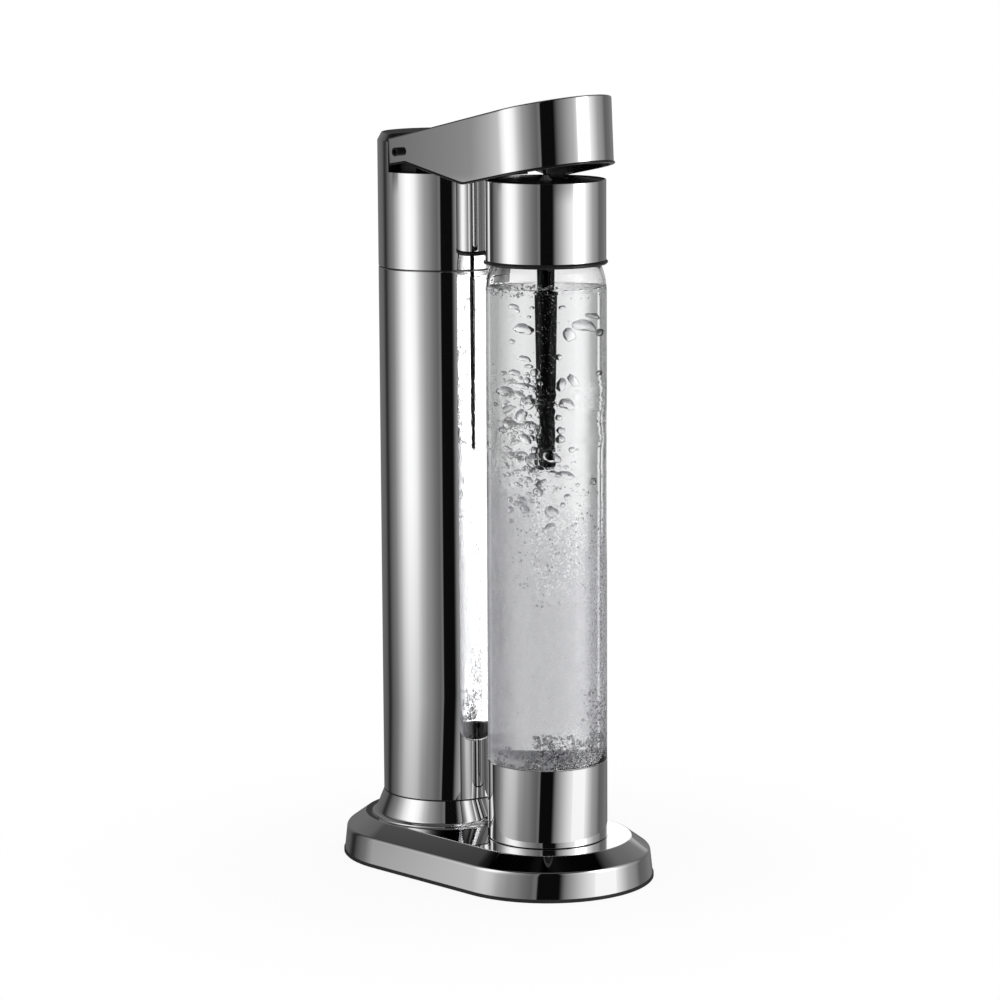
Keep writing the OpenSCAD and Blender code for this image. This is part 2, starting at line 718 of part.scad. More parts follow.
module bottle_cup() {
    edge = 1.2;
    cup_r = bottle_r + 0.1;
    color(steel) at_bottle() difference() {
        turned([[0, bottle_z], [cup_r - edge, bottle_z], [cup_r - edge * 0.3, bottle_z + edge * 0.3],
                [cup_r, bottle_z + edge], [cup_r, bottle_z + cup_h], [0, bottle_z + cup_h]]);
        disc(cup_r - cup_sheet, bottle_z + cup_sheet, bottle_z + cup_h + 1);
        disc(cup_r - 8, bottle_z - 1, bottle_z + 2);
    }
}
module cup_floor() {
    rim_r = bottle_r - 8;
    color(black) at_bottle() union() {
        disc(rim_r - fit_gap + 0.1, bottle_z, bottle_z + cup_sheet);
        disc(bottle_r - cup_sheet - fit_gap, bottle_z + cup_sheet, bottle_z + 2.1);
    }
}

// Head
sleeve_in = head_r - sleeve_wall;
core_r = sleeve_in - fit_gap;
module head_sleeve() {
    edge = 0.6;
    color(steel) at_bottle() turned([[sleeve_in, sleeve_z], [head_r, sleeve_z], [head_r, head_top - edge],
                                     [head_r - edge / 2, head_top], [sleeve_in, head_top]]);
}
module head_cap() {
    color(black) at_bottle() difference() {
        disc(core_r, core_top, cap_top);
        disc(plunger_r + pin_gap, core_top - 1, cap_top + 1);
        translate([relief_out, 0, 0]) disc(relief_r + fit_gap, core_top - 1, cap_top + 1);
    }
}
chamber_r = plunger_r + 2;
relief_out = 19;
relief_r = 3;
relief_h = 9;
module head_core() {
    hollow = concat([[0, sleeve_z - 1], [bottle_r - 1, sleeve_z - 1]], shoulder(run_gap * 2, 20, 90),
                    [[neck_r + run_gap * 2, core_ceiling], [0, core_ceiling]]);
    color("#2c2c30") at_bottle() difference() {
        disc(core_r, sleeve_z, core_top);
        turned(hollow);
        disc(chamber_r, chamber_z, core_top + 1);
        disc(1.5, core_ceiling - 1, chamber_z + 1);
        translate([relief_out, 0, 0]) disc(relief_r + fit_gap, core_top - relief_h, core_top + 1);
    }
}
module head_ring() {
    out = head_r + ring_lip;
    color(black) at_bottle() difference() {
        turned([[0, ring_z], [out - 0.8, ring_z], [out, ring_z + 0.8], [out, sleeve_z - 0.8],
                [out - 0.8, sleeve_z], [0, sleeve_z]]);
        turned(concat([[0, ring_z - 20], [bottle_r + 1, ring_z - 20]], shoulder(run_gap * 2, 0, 90),
                      [[0, shoulder_z + shoulder_h + run_gap * 2]]));
    }
}
module neck_gasket() {
    color("#3a3a3e") at_bottle()
        tube(neck_r, nozzle_r + 5, neck_top + fit_gap, neck_top + fit_gap + gasket_t);
}
nozzle_z = ring_z - nozzle_drop;
tip_l = 8;
jet_r = 0.6;
module nozzle_tube() {
    collar = neck_top;
    end = nozzle_z + tip_l;
    grow = (nozzle_r - nozzle_tip_r) / (core_ceiling - end);
    color(black) at_bottle()
        turned([[1, end], [nozzle_tip_r, end], [nozzle_tip_r + grow * (collar - end), collar],
                [nozzle_r + 4, collar], [nozzle_r + 4, core_ceiling], [1, core_ceiling]]);
}
module nozzle_tip() {
    top = nozzle_z + tip_l;
    color("#101012") at_bottle()
        turned([[jet_r, nozzle_z], [nozzle_tip_r - 0.8, nozzle_z], [nozzle_tip_r, nozzle_z + 1.2],
                [nozzle_tip_r, top], [jet_r, top]]);
}
module relief_valve() {
    color(brass) at_bottle() translate([relief_out, 0, 0])
        disc(relief_r, core_top - relief_h, cap_top - 0.4);
}
plunger_flange = 1.6;
module inlet_plunger() {
    shaft = cap_top - cap_t - 2;
    color("gray") at_bottle()
        turned([[0, shaft - plunger_flange], [chamber_r - run_gap, shaft - plunger_flange],
                [chamber_r - run_gap, shaft], [plunger_r, shaft], [plunger_r, cap_top - 0.3],
                [plunger_r - 0.8, cap_top + 0.1], [stem_r + 0.2, head_top + plunger_up],
                [0, head_top + plunger_up]]);
}
module plunger_spring() {
    wire = 0.45;
    length = core_top - 2 - plunger_flange - chamber_z - 2 * fit_gap;
    color("gray") at_bottle() translate([0, 0, chamber_z + fit_gap])
        coil(chamber_r - wire - run_gap, wire, length, 5);
}

foot_ring();
base_cover();
ballast_plate();
base_screws();
bottle_pad();
bottom_hatch();
column_collar();
column_tube();
seam_ring();
top_housing();
inner_frame();
co2_cylinder();
cylinder_valve();
valve_gasket();
valve_block();
block_screws();
valve_pin();
outlet_union();
gas_hose();
hinge_bracket();
bracket_screws();
hinge_bushes();
rocker();
rocker_pin();
return_spring();
lever_shell();
lever_trim();
lever_liner();
lever_plate();
lever_rib();
lever_cam();
cam_screws();
hinge_pin();
gas_coupler();
bottle_body();
bottle_cup();
cup_floor();
head_sleeve();
head_cap();
head_core();
head_ring();
neck_gasket();
nozzle_tube();
nozzle_tip();
relief_valve();
inlet_plunger();
plunger_spring();
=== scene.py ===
import json
import math

import bmesh
import bpy
from mathutils import Matrix, Vector, noise


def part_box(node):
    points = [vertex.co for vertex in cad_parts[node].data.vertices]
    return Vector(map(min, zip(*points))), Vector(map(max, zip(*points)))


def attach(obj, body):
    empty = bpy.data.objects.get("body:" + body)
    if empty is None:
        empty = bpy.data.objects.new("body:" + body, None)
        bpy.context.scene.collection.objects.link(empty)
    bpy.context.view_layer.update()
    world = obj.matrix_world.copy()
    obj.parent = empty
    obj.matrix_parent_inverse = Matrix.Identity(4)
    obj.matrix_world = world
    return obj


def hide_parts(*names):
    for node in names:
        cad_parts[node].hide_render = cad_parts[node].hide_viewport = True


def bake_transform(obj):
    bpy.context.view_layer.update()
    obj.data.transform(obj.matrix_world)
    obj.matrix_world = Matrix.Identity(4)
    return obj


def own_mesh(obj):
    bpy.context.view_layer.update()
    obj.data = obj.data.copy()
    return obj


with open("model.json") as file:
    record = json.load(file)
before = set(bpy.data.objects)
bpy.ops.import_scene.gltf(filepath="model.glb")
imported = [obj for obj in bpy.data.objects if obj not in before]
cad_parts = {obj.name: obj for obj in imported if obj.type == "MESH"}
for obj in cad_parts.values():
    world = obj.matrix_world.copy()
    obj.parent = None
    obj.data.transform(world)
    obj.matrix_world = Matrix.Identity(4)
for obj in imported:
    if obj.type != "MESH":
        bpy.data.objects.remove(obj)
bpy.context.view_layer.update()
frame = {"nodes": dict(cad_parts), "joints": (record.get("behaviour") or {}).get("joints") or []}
nodes = frame["nodes"]

# Foot and gaskets: black rubber mouldings. The foot runs round the base as one
# oval ring, and the machine stands on it.
class Wire:
    """One socket of a node tree: arithmetic on it adds Math nodes."""

    def __init__(self, tree, socket):
        self.tree, self.socket = tree, socket

    def add(self, kind, settings=None, sockets=None, out=0):
        """A node of any kind, with its settings first and then its sockets."""
        node = self.tree.nodes.new(kind)
        for key, value in (settings or {}).items():
            if key == "stops":
                ramp = node.color_ramp.elements
                while len(ramp) < len(value):
                    ramp.new(1.0)
                for stop, (place, level) in zip(ramp, value):
                    stop.position = place
                    stop.color = (level, level, level, 1.0)
            else:
                setattr(node, key, value)
        for key, value in (sockets or {}).items():
            if isinstance(value, Wire):
                self.tree.links.new(value.socket, node.inputs[key])
            else:
                node.inputs[key].default_value = value
        return Wire(self.tree, node.outputs[out])

    def math(self, operation, a, b=0.0, clamp=False):
        return self.add("ShaderNodeMath", {"operation": operation, "use_clamp": clamp}, {0: a, 1: b})

    def __add__(self, other):
        return self.math("ADD", self, other)

    def __radd__(self, other):
        return self.math("ADD", other, self)

    def __sub__(self, other):
        return self.math("SUBTRACT", self, other)

    def __rsub__(self, other):
        return self.math("SUBTRACT", other, self)

    def __mul__(self, other):
        return self.math("MULTIPLY", self, other)

    def __rmul__(self, other):
        return self.math("MULTIPLY", other, self)

    def __truediv__(self, other):
        return self.math("DIVIDE", self, other)

    def __rtruediv__(self, other):
        return self.math("DIVIDE", other, self)

    def __lt__(self, other):
        return self.math("LESS_THAN", self, other)

    def __gt__(self, other):
        return self.math("GREATER_THAN", self, other)

    def between(self, low, high):
        """0 below low, 1 above high, and smooth in between."""
        return self.add("ShaderNodeMapRange", {"interpolation_type": "SMOOTHSTEP"},
                        {"Value": self, "From Min": low, "From Max": high})

    def noise(self, scale, detail=2.0, stretch=(1.0, 1.0, 1.0)):
        """Noise from 0 to 1 at this place, stretched along the axes."""
        place = self.add("ShaderNodeVectorMath", {"operation": "MULTIPLY"}, {0: self, 1: stretch})
        return self.add("ShaderNodeTexNoise", {}, {"Vector": place, "Scale": scale, "Detail": detail})

    def blend(self, low, high):
        """From one colour to another as this value goes from 0 to 1."""
        return self.add("ShaderNodeMix", {"data_type": "RGBA"},
                        {"Factor": self, "A": (*low, 1.0), "B": (*high, 1.0)}, out="Result")

    def axis(self, name):
        return self.add("ShaderNodeSeparateXYZ", {}, {0: self}, out=name)

    def bump(self, height, depth):
        return self.add("ShaderNodeBump", {}, {"Height": height, "Strength": 1.0, "Distance": depth})


def finish(name, constants, paint):
    """A material: constants go on the shader's sockets, paint(place) returns what varies."""
    material = bpy.data.materials.new(name)
    material.use_nodes = True
    tree = material.node_tree
    shader = tree.nodes["Principled BSDF"]
    for socket, value in constants.items():
        shader.inputs[socket].default_value = value
    place = Wire(tree, tree.nodes.new("ShaderNodeTexCoord").outputs["Object"])
    for socket, value in paint(place).items():
        tree.links.new(value.socket, shader.inputs[socket])
    return material


def coat(material, *names):
    """Gives CAD nodes a finish."""
    for name in names:
        mesh = nodes[name].data
        mesh.materials.clear()
        mesh.materials.append(material)


def rubber_paint(place):
    grain = place.noise(2600.0, 3.0)
    return {"Base Color": place.noise(90.0).blend((0.010, 0.010, 0.011), (0.022, 0.022, 0.023)),
            "Roughness": grain * 0.2 + 0.5,
            "Normal": place.bump(grain, 0.00004)}


rubber = finish("black_rubber", {"Specular IOR Level": 0.35}, rubber_paint)
coat(rubber, "foot_ring", "valve_gasket", "neck_gasket", "gas_hose")

# Gas hose: a thin rubber hose from the valve block, over the hinge and along
# the lever to the coupler.
def twin(name, node):
    """A piece with a CAD node's own mesh, merged, in place of the node."""
    form = bmesh.new()
    form.from_mesh(nodes[node].data)
    form.transform(nodes[node].matrix_world)
    bmesh.ops.remove_doubles(form, verts=form.verts, dist=1e-6)
    mesh = bpy.data.meshes.new(name)
    form.to_mesh(mesh)
    form.free()
    mesh.materials.append(nodes[node].data.materials[0])
    mesh.shade_smooth()
    mesh.set_sharp_from_angle(angle=math.radians(50.0))
    copy = bpy.data.objects.new(name, mesh)
    bpy.context.scene.collection.objects.link(copy)
    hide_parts(node)
    return copy


hose = twin("gas_hose_bending", "gas_hose")
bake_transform(hose)

# Base cover: one deep-drawn steel sheet with an oval plan, polished to a
# mirror. A soft edge joins its wall to a wide bevel and a flat top.
def arc(centre, rx, rz, start, end, steps):
    """Points of an upright ellipse, from one angle to another, as radius and height."""
    turns = [math.radians(start + (end - start) * i / steps) for i in range(steps + 1)]
    return [(centre[0] + rx * math.cos(t), centre[1] + rz * math.sin(t)) for t in turns]


def corner(a, b, c, radius, steps=8):
    """The corner b of the path a, b, c, rounded off."""
    a, b, c = Vector(a), Vector(b), Vector(c)
    u, w = (a - b).normalized(), (c - b).normalized()
    half = u.angle(w) / 2
    middle = b + (u + w).normalized() * radius / math.sin(half)
    first = b + u * radius / math.tan(half) - middle
    last = b + w * radius / math.tan(half) - middle
    swing = (math.atan2(last.y, last.x) - math.atan2(first.y, first.x) + math.pi) % (2 * math.pi) - math.pi
    return [tuple(middle + Matrix.Rotation(swing * i / steps, 2) @ first) for i in range(steps + 1)]


def with_supports(profile, margin=0.0003):
    """The profile with a point near each end of its long lines, so that they shade flat."""
    made = [profile[0]]
    for a, b in zip(profile, profile[1:]):
        line = Vector(b) - Vector(a)
        if line.length > 6 * margin:
            step = line.normalized() * margin
            made += [tuple(Vector(a) + step), tuple(Vector(b) - step)]
        made.append(b)
    return made


def piece(name, mesh, material, body, slot, *stands_for, crease=32.0):
    """A finished piece in the scene: shaded, riding on its body, in place of its CAD nodes."""
    made = bpy.data.objects.new(name, mesh)
    bpy.context.scene.collection.objects.link(made)
    mesh.materials.clear()
    mesh.materials.append(material)
    mesh.shade_smooth()
    mesh.set_sharp_from_angle(angle=math.radians(crease))
    weighted = made.modifiers.new("flat_faces", "WEIGHTED_NORMAL")
    weighted.keep_sharp = True
    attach(made, body)
    if stands_for:
        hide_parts(*stands_for)
    return made


def swept(name, profile, centres, steps=256, closed=True):
    """A mesh from a profile of radius and height, swept round an upright axis or, with two
    centres, round an oval. Each centre is a Y. A closed profile ends where it starts."""
    ring = []
    for turn, y in enumerate(centres):
        share = 2 * math.pi / len(centres)
        count = steps // len(centres)
        for i in range(count + (len(centres) > 1)):
            angle = turn * share + share * i / count
            ring.append((math.cos(angle), math.sin(angle), y))
    points = with_supports(profile + profile[:1] if closed else profile)
    if closed:
        points.pop()
    form = bmesh.new()
    rows = []
    for r, z in points:
        if r < 1e-7 and len(centres) == 1:
            rows.append([form.verts.new((0.0, centres[0], z))] * len(ring))
        else:
            rows.append([form.verts.new((r * c, y + r * s, z)) for c, s, y in ring])
    pairs = list(zip(rows, rows[1:] + rows[:1] if closed else rows[1:]))
    for low, high in pairs:
        for i in range(len(ring)):
            j = (i + 1) % len(ring)
            face = list(dict.fromkeys((low[i], low[j], high[j], high[i])))
            if len(face) > 2:
                form.faces.new(face)
    if not closed:
        for row in (rows[0], rows[-1]):
            if len(set(row)) > 2:
                form.faces.new(row)
    bmesh.ops.recalc_face_normals(form, faces=form.faces)
    mesh = bpy.data.meshes.new(name)
    form.to_mesh(mesh)
    form.free()
    return mesh


def steel_paint(place):
    haze = place.noise(16.0, 3.0)
    hairline = place.noise(900.0, 2.0, (1.0, 1.0, 0.06))
    return {"Base Color": haze.blend((0.90, 0.90, 0.905), (0.94, 0.94, 0.94)),
            "Roughness": haze.between(0.45, 0.85) * 0.02 + hairline * 0.012 + 0.012}


polished_steel = finish("polished_steel", {"Metallic": 1.0}, steel_paint)

base_low, base_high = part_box("base_cover")
base_wall_r = base_high.x
column_low, column_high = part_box("column_tube")
column_y = (column_low.y + column_high.y) / 2
bottle_low, bottle_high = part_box("bottle_body")
bottle_y = (bottle_low.y + bottle_high.y) / 2
sheet = 0.0012
wall_draft = 0.0015
wall_h = 0.0139
wall_round = 0.0027
crease_round = 0.0012
wall_top = base_low.z + wall_h
plateau_r = 0.047
plateau_z = base_high.z
base_foot = (base_wall_r, base_low.z)
base_edge = (base_wall_r - wall_draft, wall_top)
base_crease = (plateau_r, plateau_z)
base_profile = [(base_wall_r - sheet, base_low.z), base_foot,
                *corner(base_foot, base_edge, base_crease, wall_round, 12),
                *corner(base_edge, base_crease, (0.0, plateau_z), crease_round, 4),
                (0.0, plateau_z), (0.0, plateau_z - sheet), (plateau_r - sheet, plateau_z - sheet),
                (base_wall_r - wall_draft - sheet, wall_top - sheet)]
piece("base_cover_polished", swept("base_cover_polished", base_profile, (column_y, bottle_y)),
      polished_steel, "stand", "polished_steel", "base_cover")

# Bottle pad: a black rubber disc let into the base's top, flush with it, so
# that the bottle's foot doesn't slide on the polished steel.
pad_low, pad_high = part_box("bottle_pad")
pad_r = (pad_high.x - pad_low.x) / 2
pad_rise = 0.00012
pad_round = 0.0004
pad_top = pad_high.z + pad_rise
pad_profile = [(0.0, pad_low.z), (pad_r, pad_low.z),
               *corner((pad_r, pad_low.z), (pad_r, pad_top), (0.0, pad_top), pad_round), (0.0, pad_top)]
piece("pad_rubber", swept("pad_rubber", pad_profile, (bottle_y,), 128, closed=False),
      rubber, "stand", "rubber", "bottle_pad")

# Column: a rolled steel tube on a flared collar, with a drawn top housing.
# Dark seams part the three, where the inner frame shows between them.
collar_low, collar_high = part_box("column_collar")
column_r = (column_high.x - column_low.x) / 2
collar_foot_r = (collar_high.x - collar_low.x) / 2
column_sheet = 0.0008
column_in = column_r - column_sheet
collar_lip = 0.0003
collar_flare = 0.0052
collar_round = 0.003
collar_foot = (collar_foot_r, collar_low.z + collar_lip)
collar_knee = (column_r + collar_flare, collar_low.z + collar_lip)
collar_top = (column_r, collar_high.z)
collar_profile = [(column_in, collar_low.z), (collar_foot_r, collar_low.z), collar_foot,
                  *corner(collar_foot, collar_knee, collar_top, collar_round, 12),
                  collar_top, (column_in, collar_high.z)]
piece("collar_polished", swept("collar_polished", collar_profile, (column_y,)),
      polished_steel, "stand", "polished_steel", "column_collar")
edge = 0.0003
tube_profile = [(column_in, column_low.z), (column_r - edge, column_low.z),
                (column_r, column_low.z + edge), (column_r, column_high.z - edge),
                (column_r - edge, column_high.z), (column_in, column_high.z)]
piece("column_polished", swept("column_polished", tube_profile, (column_y,)),
      polished_steel, "stand", "polished_steel", "column_tube")


def satin_paint(place):
    grain = place.noise(3200.0, 2.0)
    return {"Base Color": place.noise(60.0).blend((0.006, 0.006, 0.007), (0.012, 0.012, 0.013)),
            "Roughness": grain * 0.16 + 0.26,
            "Normal": place.bump(grain, 0.00001)}


black_plastic = finish("black_plastic", {}, satin_paint)
coat(black_plastic, "inner_frame", "seam_ring", "bottom_hatch", "hinge_bracket", "lever_liner",
     "lever_plate", "lever_rib", "gas_coupler", "cup_floor", "head_cap", "head_core", "head_ring")

# Top housing: the cylinder's upper end and the bevelled tower behind the
# lever, drawn from one sheet. The tower is cut flat towards the lever.
housing_low, housing_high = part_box("top_housing")
housing_sheet = 0.0008
tower_h = 0.0213
tower_cut = 0.0055
tower_bevel = (0.0024, 0.0044)
tower_round = 0.0008
tower_front = column_y + tower_cut
tower_foot = housing_high.z - tower_h


def tower_mesh(name, r, top, low, cut_y, cut_z):
    """The housing's shell: a turned form, with the part in front of the tower cut away."""
    def side(r, top):
        wall, shelf = (r, top - tower_bevel[1]), (r - tower_bevel[0], top)
        return [(r, low), *corner((r, low), wall, shelf, tower_round, 5),
                *corner(wall, shelf, (0.0, top), tower_round, 5), (0.0, top)]
    outside = side(r, top)
    inside = side(r - housing_sheet, top - housing_sheet)[::-1]
    mesh = swept(name, outside + inside, (column_y,))
    form = bmesh.new()
    form.from_mesh(mesh)
    for point, normal in (((0, 0, cut_z), (0, 0, 1)), ((0, cut_y, 0), (0, -1, 0))):
        bmesh.ops.bisect_plane(form, geom=form.verts[:] + form.edges[:] + form.faces[:],
                               plane_co=point, plane_no=normal)
    bmesh.ops.delete(form, context="FACES", geom=[
        f for f in form.faces
        if f.calc_center_median().z > cut_z and f.calc_center_median().y < cut_y])
    rim = [e for e in form.edges if e.is_boundary]
    bmesh.ops.bridge_loops(form, edges=rim)
    bmesh.ops.recalc_face_normals(form, faces=form.faces)
    form.to_mesh(mesh)
    form.free()
    return mesh


piece("housing_polished",
      tower_mesh("housing_polished", column_r, housing_high.z, housing_low.z, tower_front, tower_foot),
      polished_steel, "stand", "polished_steel", "top_housing")
tower_skin = bpy.data.meshes["housing_polished"]
tower_skin.materials.append(black_plastic)
for face in tower_skin.polygons:
    if face.normal.y < -0.99 and abs(face.center.y - tower_front) < 1e-5:
        face.material_index = 1

# Lever: a polished steel hood over a black plastic liner and rim trim. Its
# top rises to the nose, and a cross pin hinges it between the bracket's ears.
lever_joint = next(j for j in frame["joints"] if j["name"] == "lever_press")
pivot = Vector(lever_joint["pos_m"])
lean = math.radians(3.0)
lever_r = column_r
nose_s = 0.080
rear_s = -0.0081
rise = 0.0088
top_slope = math.tan(math.radians(9.4))
rim_slope = math.tan(math.radians(8.2))
trim_t = 0.0012
lever_sheet = 0.0009
lever_edge = 0.0009
belly = (0.0496, -0.0183)
arch = (0.0041, -0.0064)
front_s = 0.119
front = (front_s, belly[1] + (front_s - belly[0]) * rim_slope)
rear = (rear_s, -0.0077)
arch_round = 0.005
belly_round = 0.010
rim_line = [rear, *corner(rear, arch, belly, arch_round), *corner(arch, belly, front, belly_round), front]


def in_lever(s, x, z):
    """A point of the lever's own frame, s forward of the pivot and z above it, where it is at rest."""
    return Vector((x, pivot.y - s * math.cos(lean) + z * math.sin(lean),
                   pivot.z + s * math.sin(lean) + z * math.cos(lean)))


def rim_at(s):
    """Height of the lever's rim at s."""
    for a, b in zip(rim_line, rim_line[1:]):
        if a[0] <= s <= b[0]:
            return a[1] + (b[1] - a[1]) * (s - a[0]) / (b[0] - a[0])
    return rim_line[-1][1]


def lever_skin(name, section, closed):
    """A skin along the lever's plan. Each point of the section is a reach from the plan's middle
    line and a rule for its height at s; an open section is capped by its last row."""
    flank, nose = 96, 160
    plan = [(rear_s + (nose_s - rear_s) * i / flank, -1.0, 0.0) for i in range(flank)]
    for i in range(nose + 1):
        angle = math.pi * i / nose
        plan.append((nose_s, -math.cos(angle), math.sin(angle)))
    plan += [(nose_s - (nose_s - rear_s) * i / flank, 1.0, 0.0) for i in range(1, flank + 1)]
    form = bmesh.new()
    rows = []
    for s, side, ahead in plan:
        rows.append([form.verts.new(in_lever(s + ahead * reach, side * reach, up(s + ahead * reach)))
                     for reach, up in section])
    count = len(section)
    for a, b in zip(rows, rows[1:]):
        for i in range(count if closed else count - 1):
            j = (i + 1) % count
            form.faces.new((a[i], b[i], b[j], a[j]))
    if closed:
        form.faces.new(rows[0])
        form.faces.new(rows[-1])
    else:
        form.faces.new([row[-1] for row in rows])
    bmesh.ops.recalc_face_normals(form, faces=form.faces)
    mesh = bpy.data.meshes.new(name)
    form.to_mesh(mesh)
    form.free()
    return mesh


def over_rim(up):
    return lambda s: rim_at(s) + up


def under_top(down):
    return lambda s: rise + s * top_slope - down


hood_section = [(lever_r, over_rim(trim_t)), (lever_r, over_rim(trim_t + edge)),
                (lever_r, under_top(lever_edge + edge))]
for i in range(7):
    turn = math.radians(15 * i)
    hood_section.append((lever_r - lever_edge * (1 - math.cos(turn)),
                         under_top(lever_edge * (1 - math.sin(turn)))))
hood_section.append((lever_r - lever_edge - edge, under_top(0.0)))
hood = piece("lever_polished", lever_skin("lever_polished", hood_section, False),
             polished_steel, "lever", "polished_steel", "lever_shell")
walls = hood.modifiers.new("sheet", "SOLIDIFY")
walls.thickness = lever_sheet
walls.offset = -1.0
hood.modifiers.move(1, 0)

# Rim trim: a glossy black moulding clipped over the lever's lower edge. Its
# outer corners are round and catch the light at the nose.
trim_lip = 0.0007
trim_in = lever_r - 0.002
trim_bead = 0.0005
trim_foot = lever_r - 0.0008
trim_seat = lever_r - 0.0003
trim_section = [(trim_in, over_rim(0.0)), (trim_foot, over_rim(0.0))]
for start, height in ((-90, trim_bead), (0, trim_t - trim_bead)):
    for i in range(7):
        turn = math.radians(start + 15 * i)
        trim_section.append((lever_r + trim_lip - trim_bead * (1 - math.cos(turn)),
                             over_rim(height + trim_bead * math.sin(turn))))
trim_section += [(trim_seat, over_rim(trim_t)), (trim_in, over_rim(trim_t))]


def piano_paint(place):
    wipe = place.noise(130.0, 3.0)
    return {"Base Color": wipe.blend((0.004, 0.004, 0.005), (0.009, 0.009, 0.010)),
            "Roughness": wipe * 0.08 + 0.08}


piano_black = finish("piano_black", {}, piano_paint)
piece("trim_moulded", lever_skin("trim_moulded", trim_section, True),
      piano_black, "lever", "black_plastic", "lever_trim")

# Hinge pin: turned steel, black oxide, with a hexagon socket in each end.
# It stands out of the lever's flanks on both sides.
def oxide_paint(place):
    wear = place.noise(700.0, 3.0)
    return {"Base Color": wear.between(0.55, 0.9).blend((0.008, 0.008, 0.009), (0.05, 0.05, 0.052)),
            "Roughness": wear * 0.15 + 0.22,
            "Metallic": wear.between(0.5, 0.9) * 0.4 + 0.4}


coat(finish("black_oxide", {}, oxide_paint), "hinge_pin")

# Springs, screws, cam, rocker and pins: plain steel, with the fine rings that
# turning leaves on them.
def turned_paint(place):
    rings = place.noise(1500.0, 2.0, (1.0, 1.0, 4.0))
    return {"Base Color": rings.blend((0.36, 0.36, 0.37), (0.52, 0.52, 0.53)),
            "Roughness": rings * 0.2 + 0.2,
            "Normal": place.bump(rings, 0.000008)}


plain_steel = finish("turned_steel", {"Metallic": 1.0}, turned_paint)
coat(plain_steel, "base_screws", "block_screws", "valve_pin", "bracket_screws", "rocker_pin", "return_spring",
     "cam_screws", "plunger_spring", "rocker", "lever_cam")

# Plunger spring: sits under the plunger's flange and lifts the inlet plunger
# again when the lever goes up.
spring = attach(twin("plunger_spring_giving", "plunger_spring"), "head")
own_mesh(spring)

# Inlet plunger: a pale grey nylon cone in the head's top. The lever's coupler
# pushes it down to let the gas in.
def nylon_paint(place):
    grain = place.noise(1800.0, 2.0)
    return {"Base Color": place.noise(260.0).blend((0.30, 0.30, 0.30), (0.40, 0.40, 0.40)),
            "Roughness": grain * 0.15 + 0.38,
            "Normal": place.bump(grain, 0.00001)}


coat(finish("grey_nylon", {}, nylon_paint), "inlet_plunger")

# Valve parts and bushes: turned brass, a little dull where they were handled.
# The block is screwed to the inner frame; the bushes sit in the hinge bracket.
def brass_paint(place):
    dull = place.noise(140.0, 4.0)
    return {"Base Color": dull.blend((0.60, 0.42, 0.16), (0.72, 0.54, 0.24)),
            "Roughness": dull * 0.25 + 0.15}


coat(finish("turned_brass", {"Metallic": 1.0}, brass_paint),
     "cylinder_valve", "valve_block", "outlet_union", "hinge_bushes", "relief_valve")

# Gas cylinder: drawn aluminium under satin grey paint. It stands inside the
# column, below its valve, and comes out through the hatch.
def cylinder_paint(place):
    peel = place.noise(420.0, 2.0)
    return {"Base Color": place.noise(24.0).blend((0.24, 0.25, 0.27), (0.29, 0.30, 0.32)),
            "Roughness": peel * 0.15 + 0.35,
            "Normal": place.bump(peel, 0.00003)}


coat(finish("grey_paint", {}, cylinder_paint), "co2_cylinder")

# Ballast: an iron plate with dull zinc plating. It is screwed under the base and
# keeps the machine steady when the lever is pressed.
def zinc_paint(place):
    spangle = place.noise(220.0, 5.0)
    return {"Base Color": spangle.blend((0.10, 0.10, 0.10), (0.19, 0.19, 0.20)),
            "Roughness": spangle * 0.25 + 0.45}


coat(finish("dull_zinc", {"Metallic": 0.7}, zinc_paint), "ballast_plate")

# Bottle: blown clear plastic, with a rounded shoulder and a straight neck. A
# polished steel cup is pressed on round its foot.
bottle_r = (bottle_high.x - bottle_low.x) / 2
bottle_wall = 0.0013
neck_r = 0.020
neck_h = 0.013
mouth_r = 0.017
shoulder_h = 0.024
neck_top = bottle_high.z
shoulder_z = neck_top - neck_h - shoulder_h
cup_low, cup_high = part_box("bottle_cup")
cup_r = (cup_high.x - cup_low.x) / 2
low_r = bottle_r - 0.0008
cup_line = cup_high.z + 0.0001
foot_z = bottle_low.z
inner_r = bottle_r - bottle_wall
low_in = low_r - bottle_wall
floor_z = foot_z + bottle_wall + 0.001
dome_r = low_r - 0.016
dome_h = 0.006
foot_round = 0.006
dome_in_h = 0.005
floor_round = 0.005
step_low = cup_line - 0.001
step_high = cup_line + 0.003
bottle_profile = [(0.0, foot_z + dome_h), (dome_r, foot_z),
                  *corner((0.0, foot_z), (low_r, foot_z), (low_r, cup_line), foot_round), (low_r, cup_line),
                  (bottle_r - edge, cup_line), (bottle_r, cup_line + edge),
                  *arc((neck_r, shoulder_z), bottle_r - neck_r, shoulder_h, 0, 90, 32),
                  (neck_r, neck_top), (mouth_r, neck_top),
                  *arc((mouth_r, shoulder_z), inner_r - mouth_r, shoulder_h - bottle_wall, 90, 0, 32),
                  (inner_r, step_high), (low_in, step_low),
                  *corner((low_in, cup_line), (low_in, floor_z), (0.0, floor_z), floor_round),
                  (dome_r, floor_z), (0.0, floor_z + dome_in_h)]


def clear_paint(place):
    film = place.noise(30.0, 3.0)
    return {"Roughness": film.between(0.5, 0.9) * 0.012,
            "Base Color": film.blend((0.985, 0.985, 0.99), (1.0, 1.0, 1.0))}


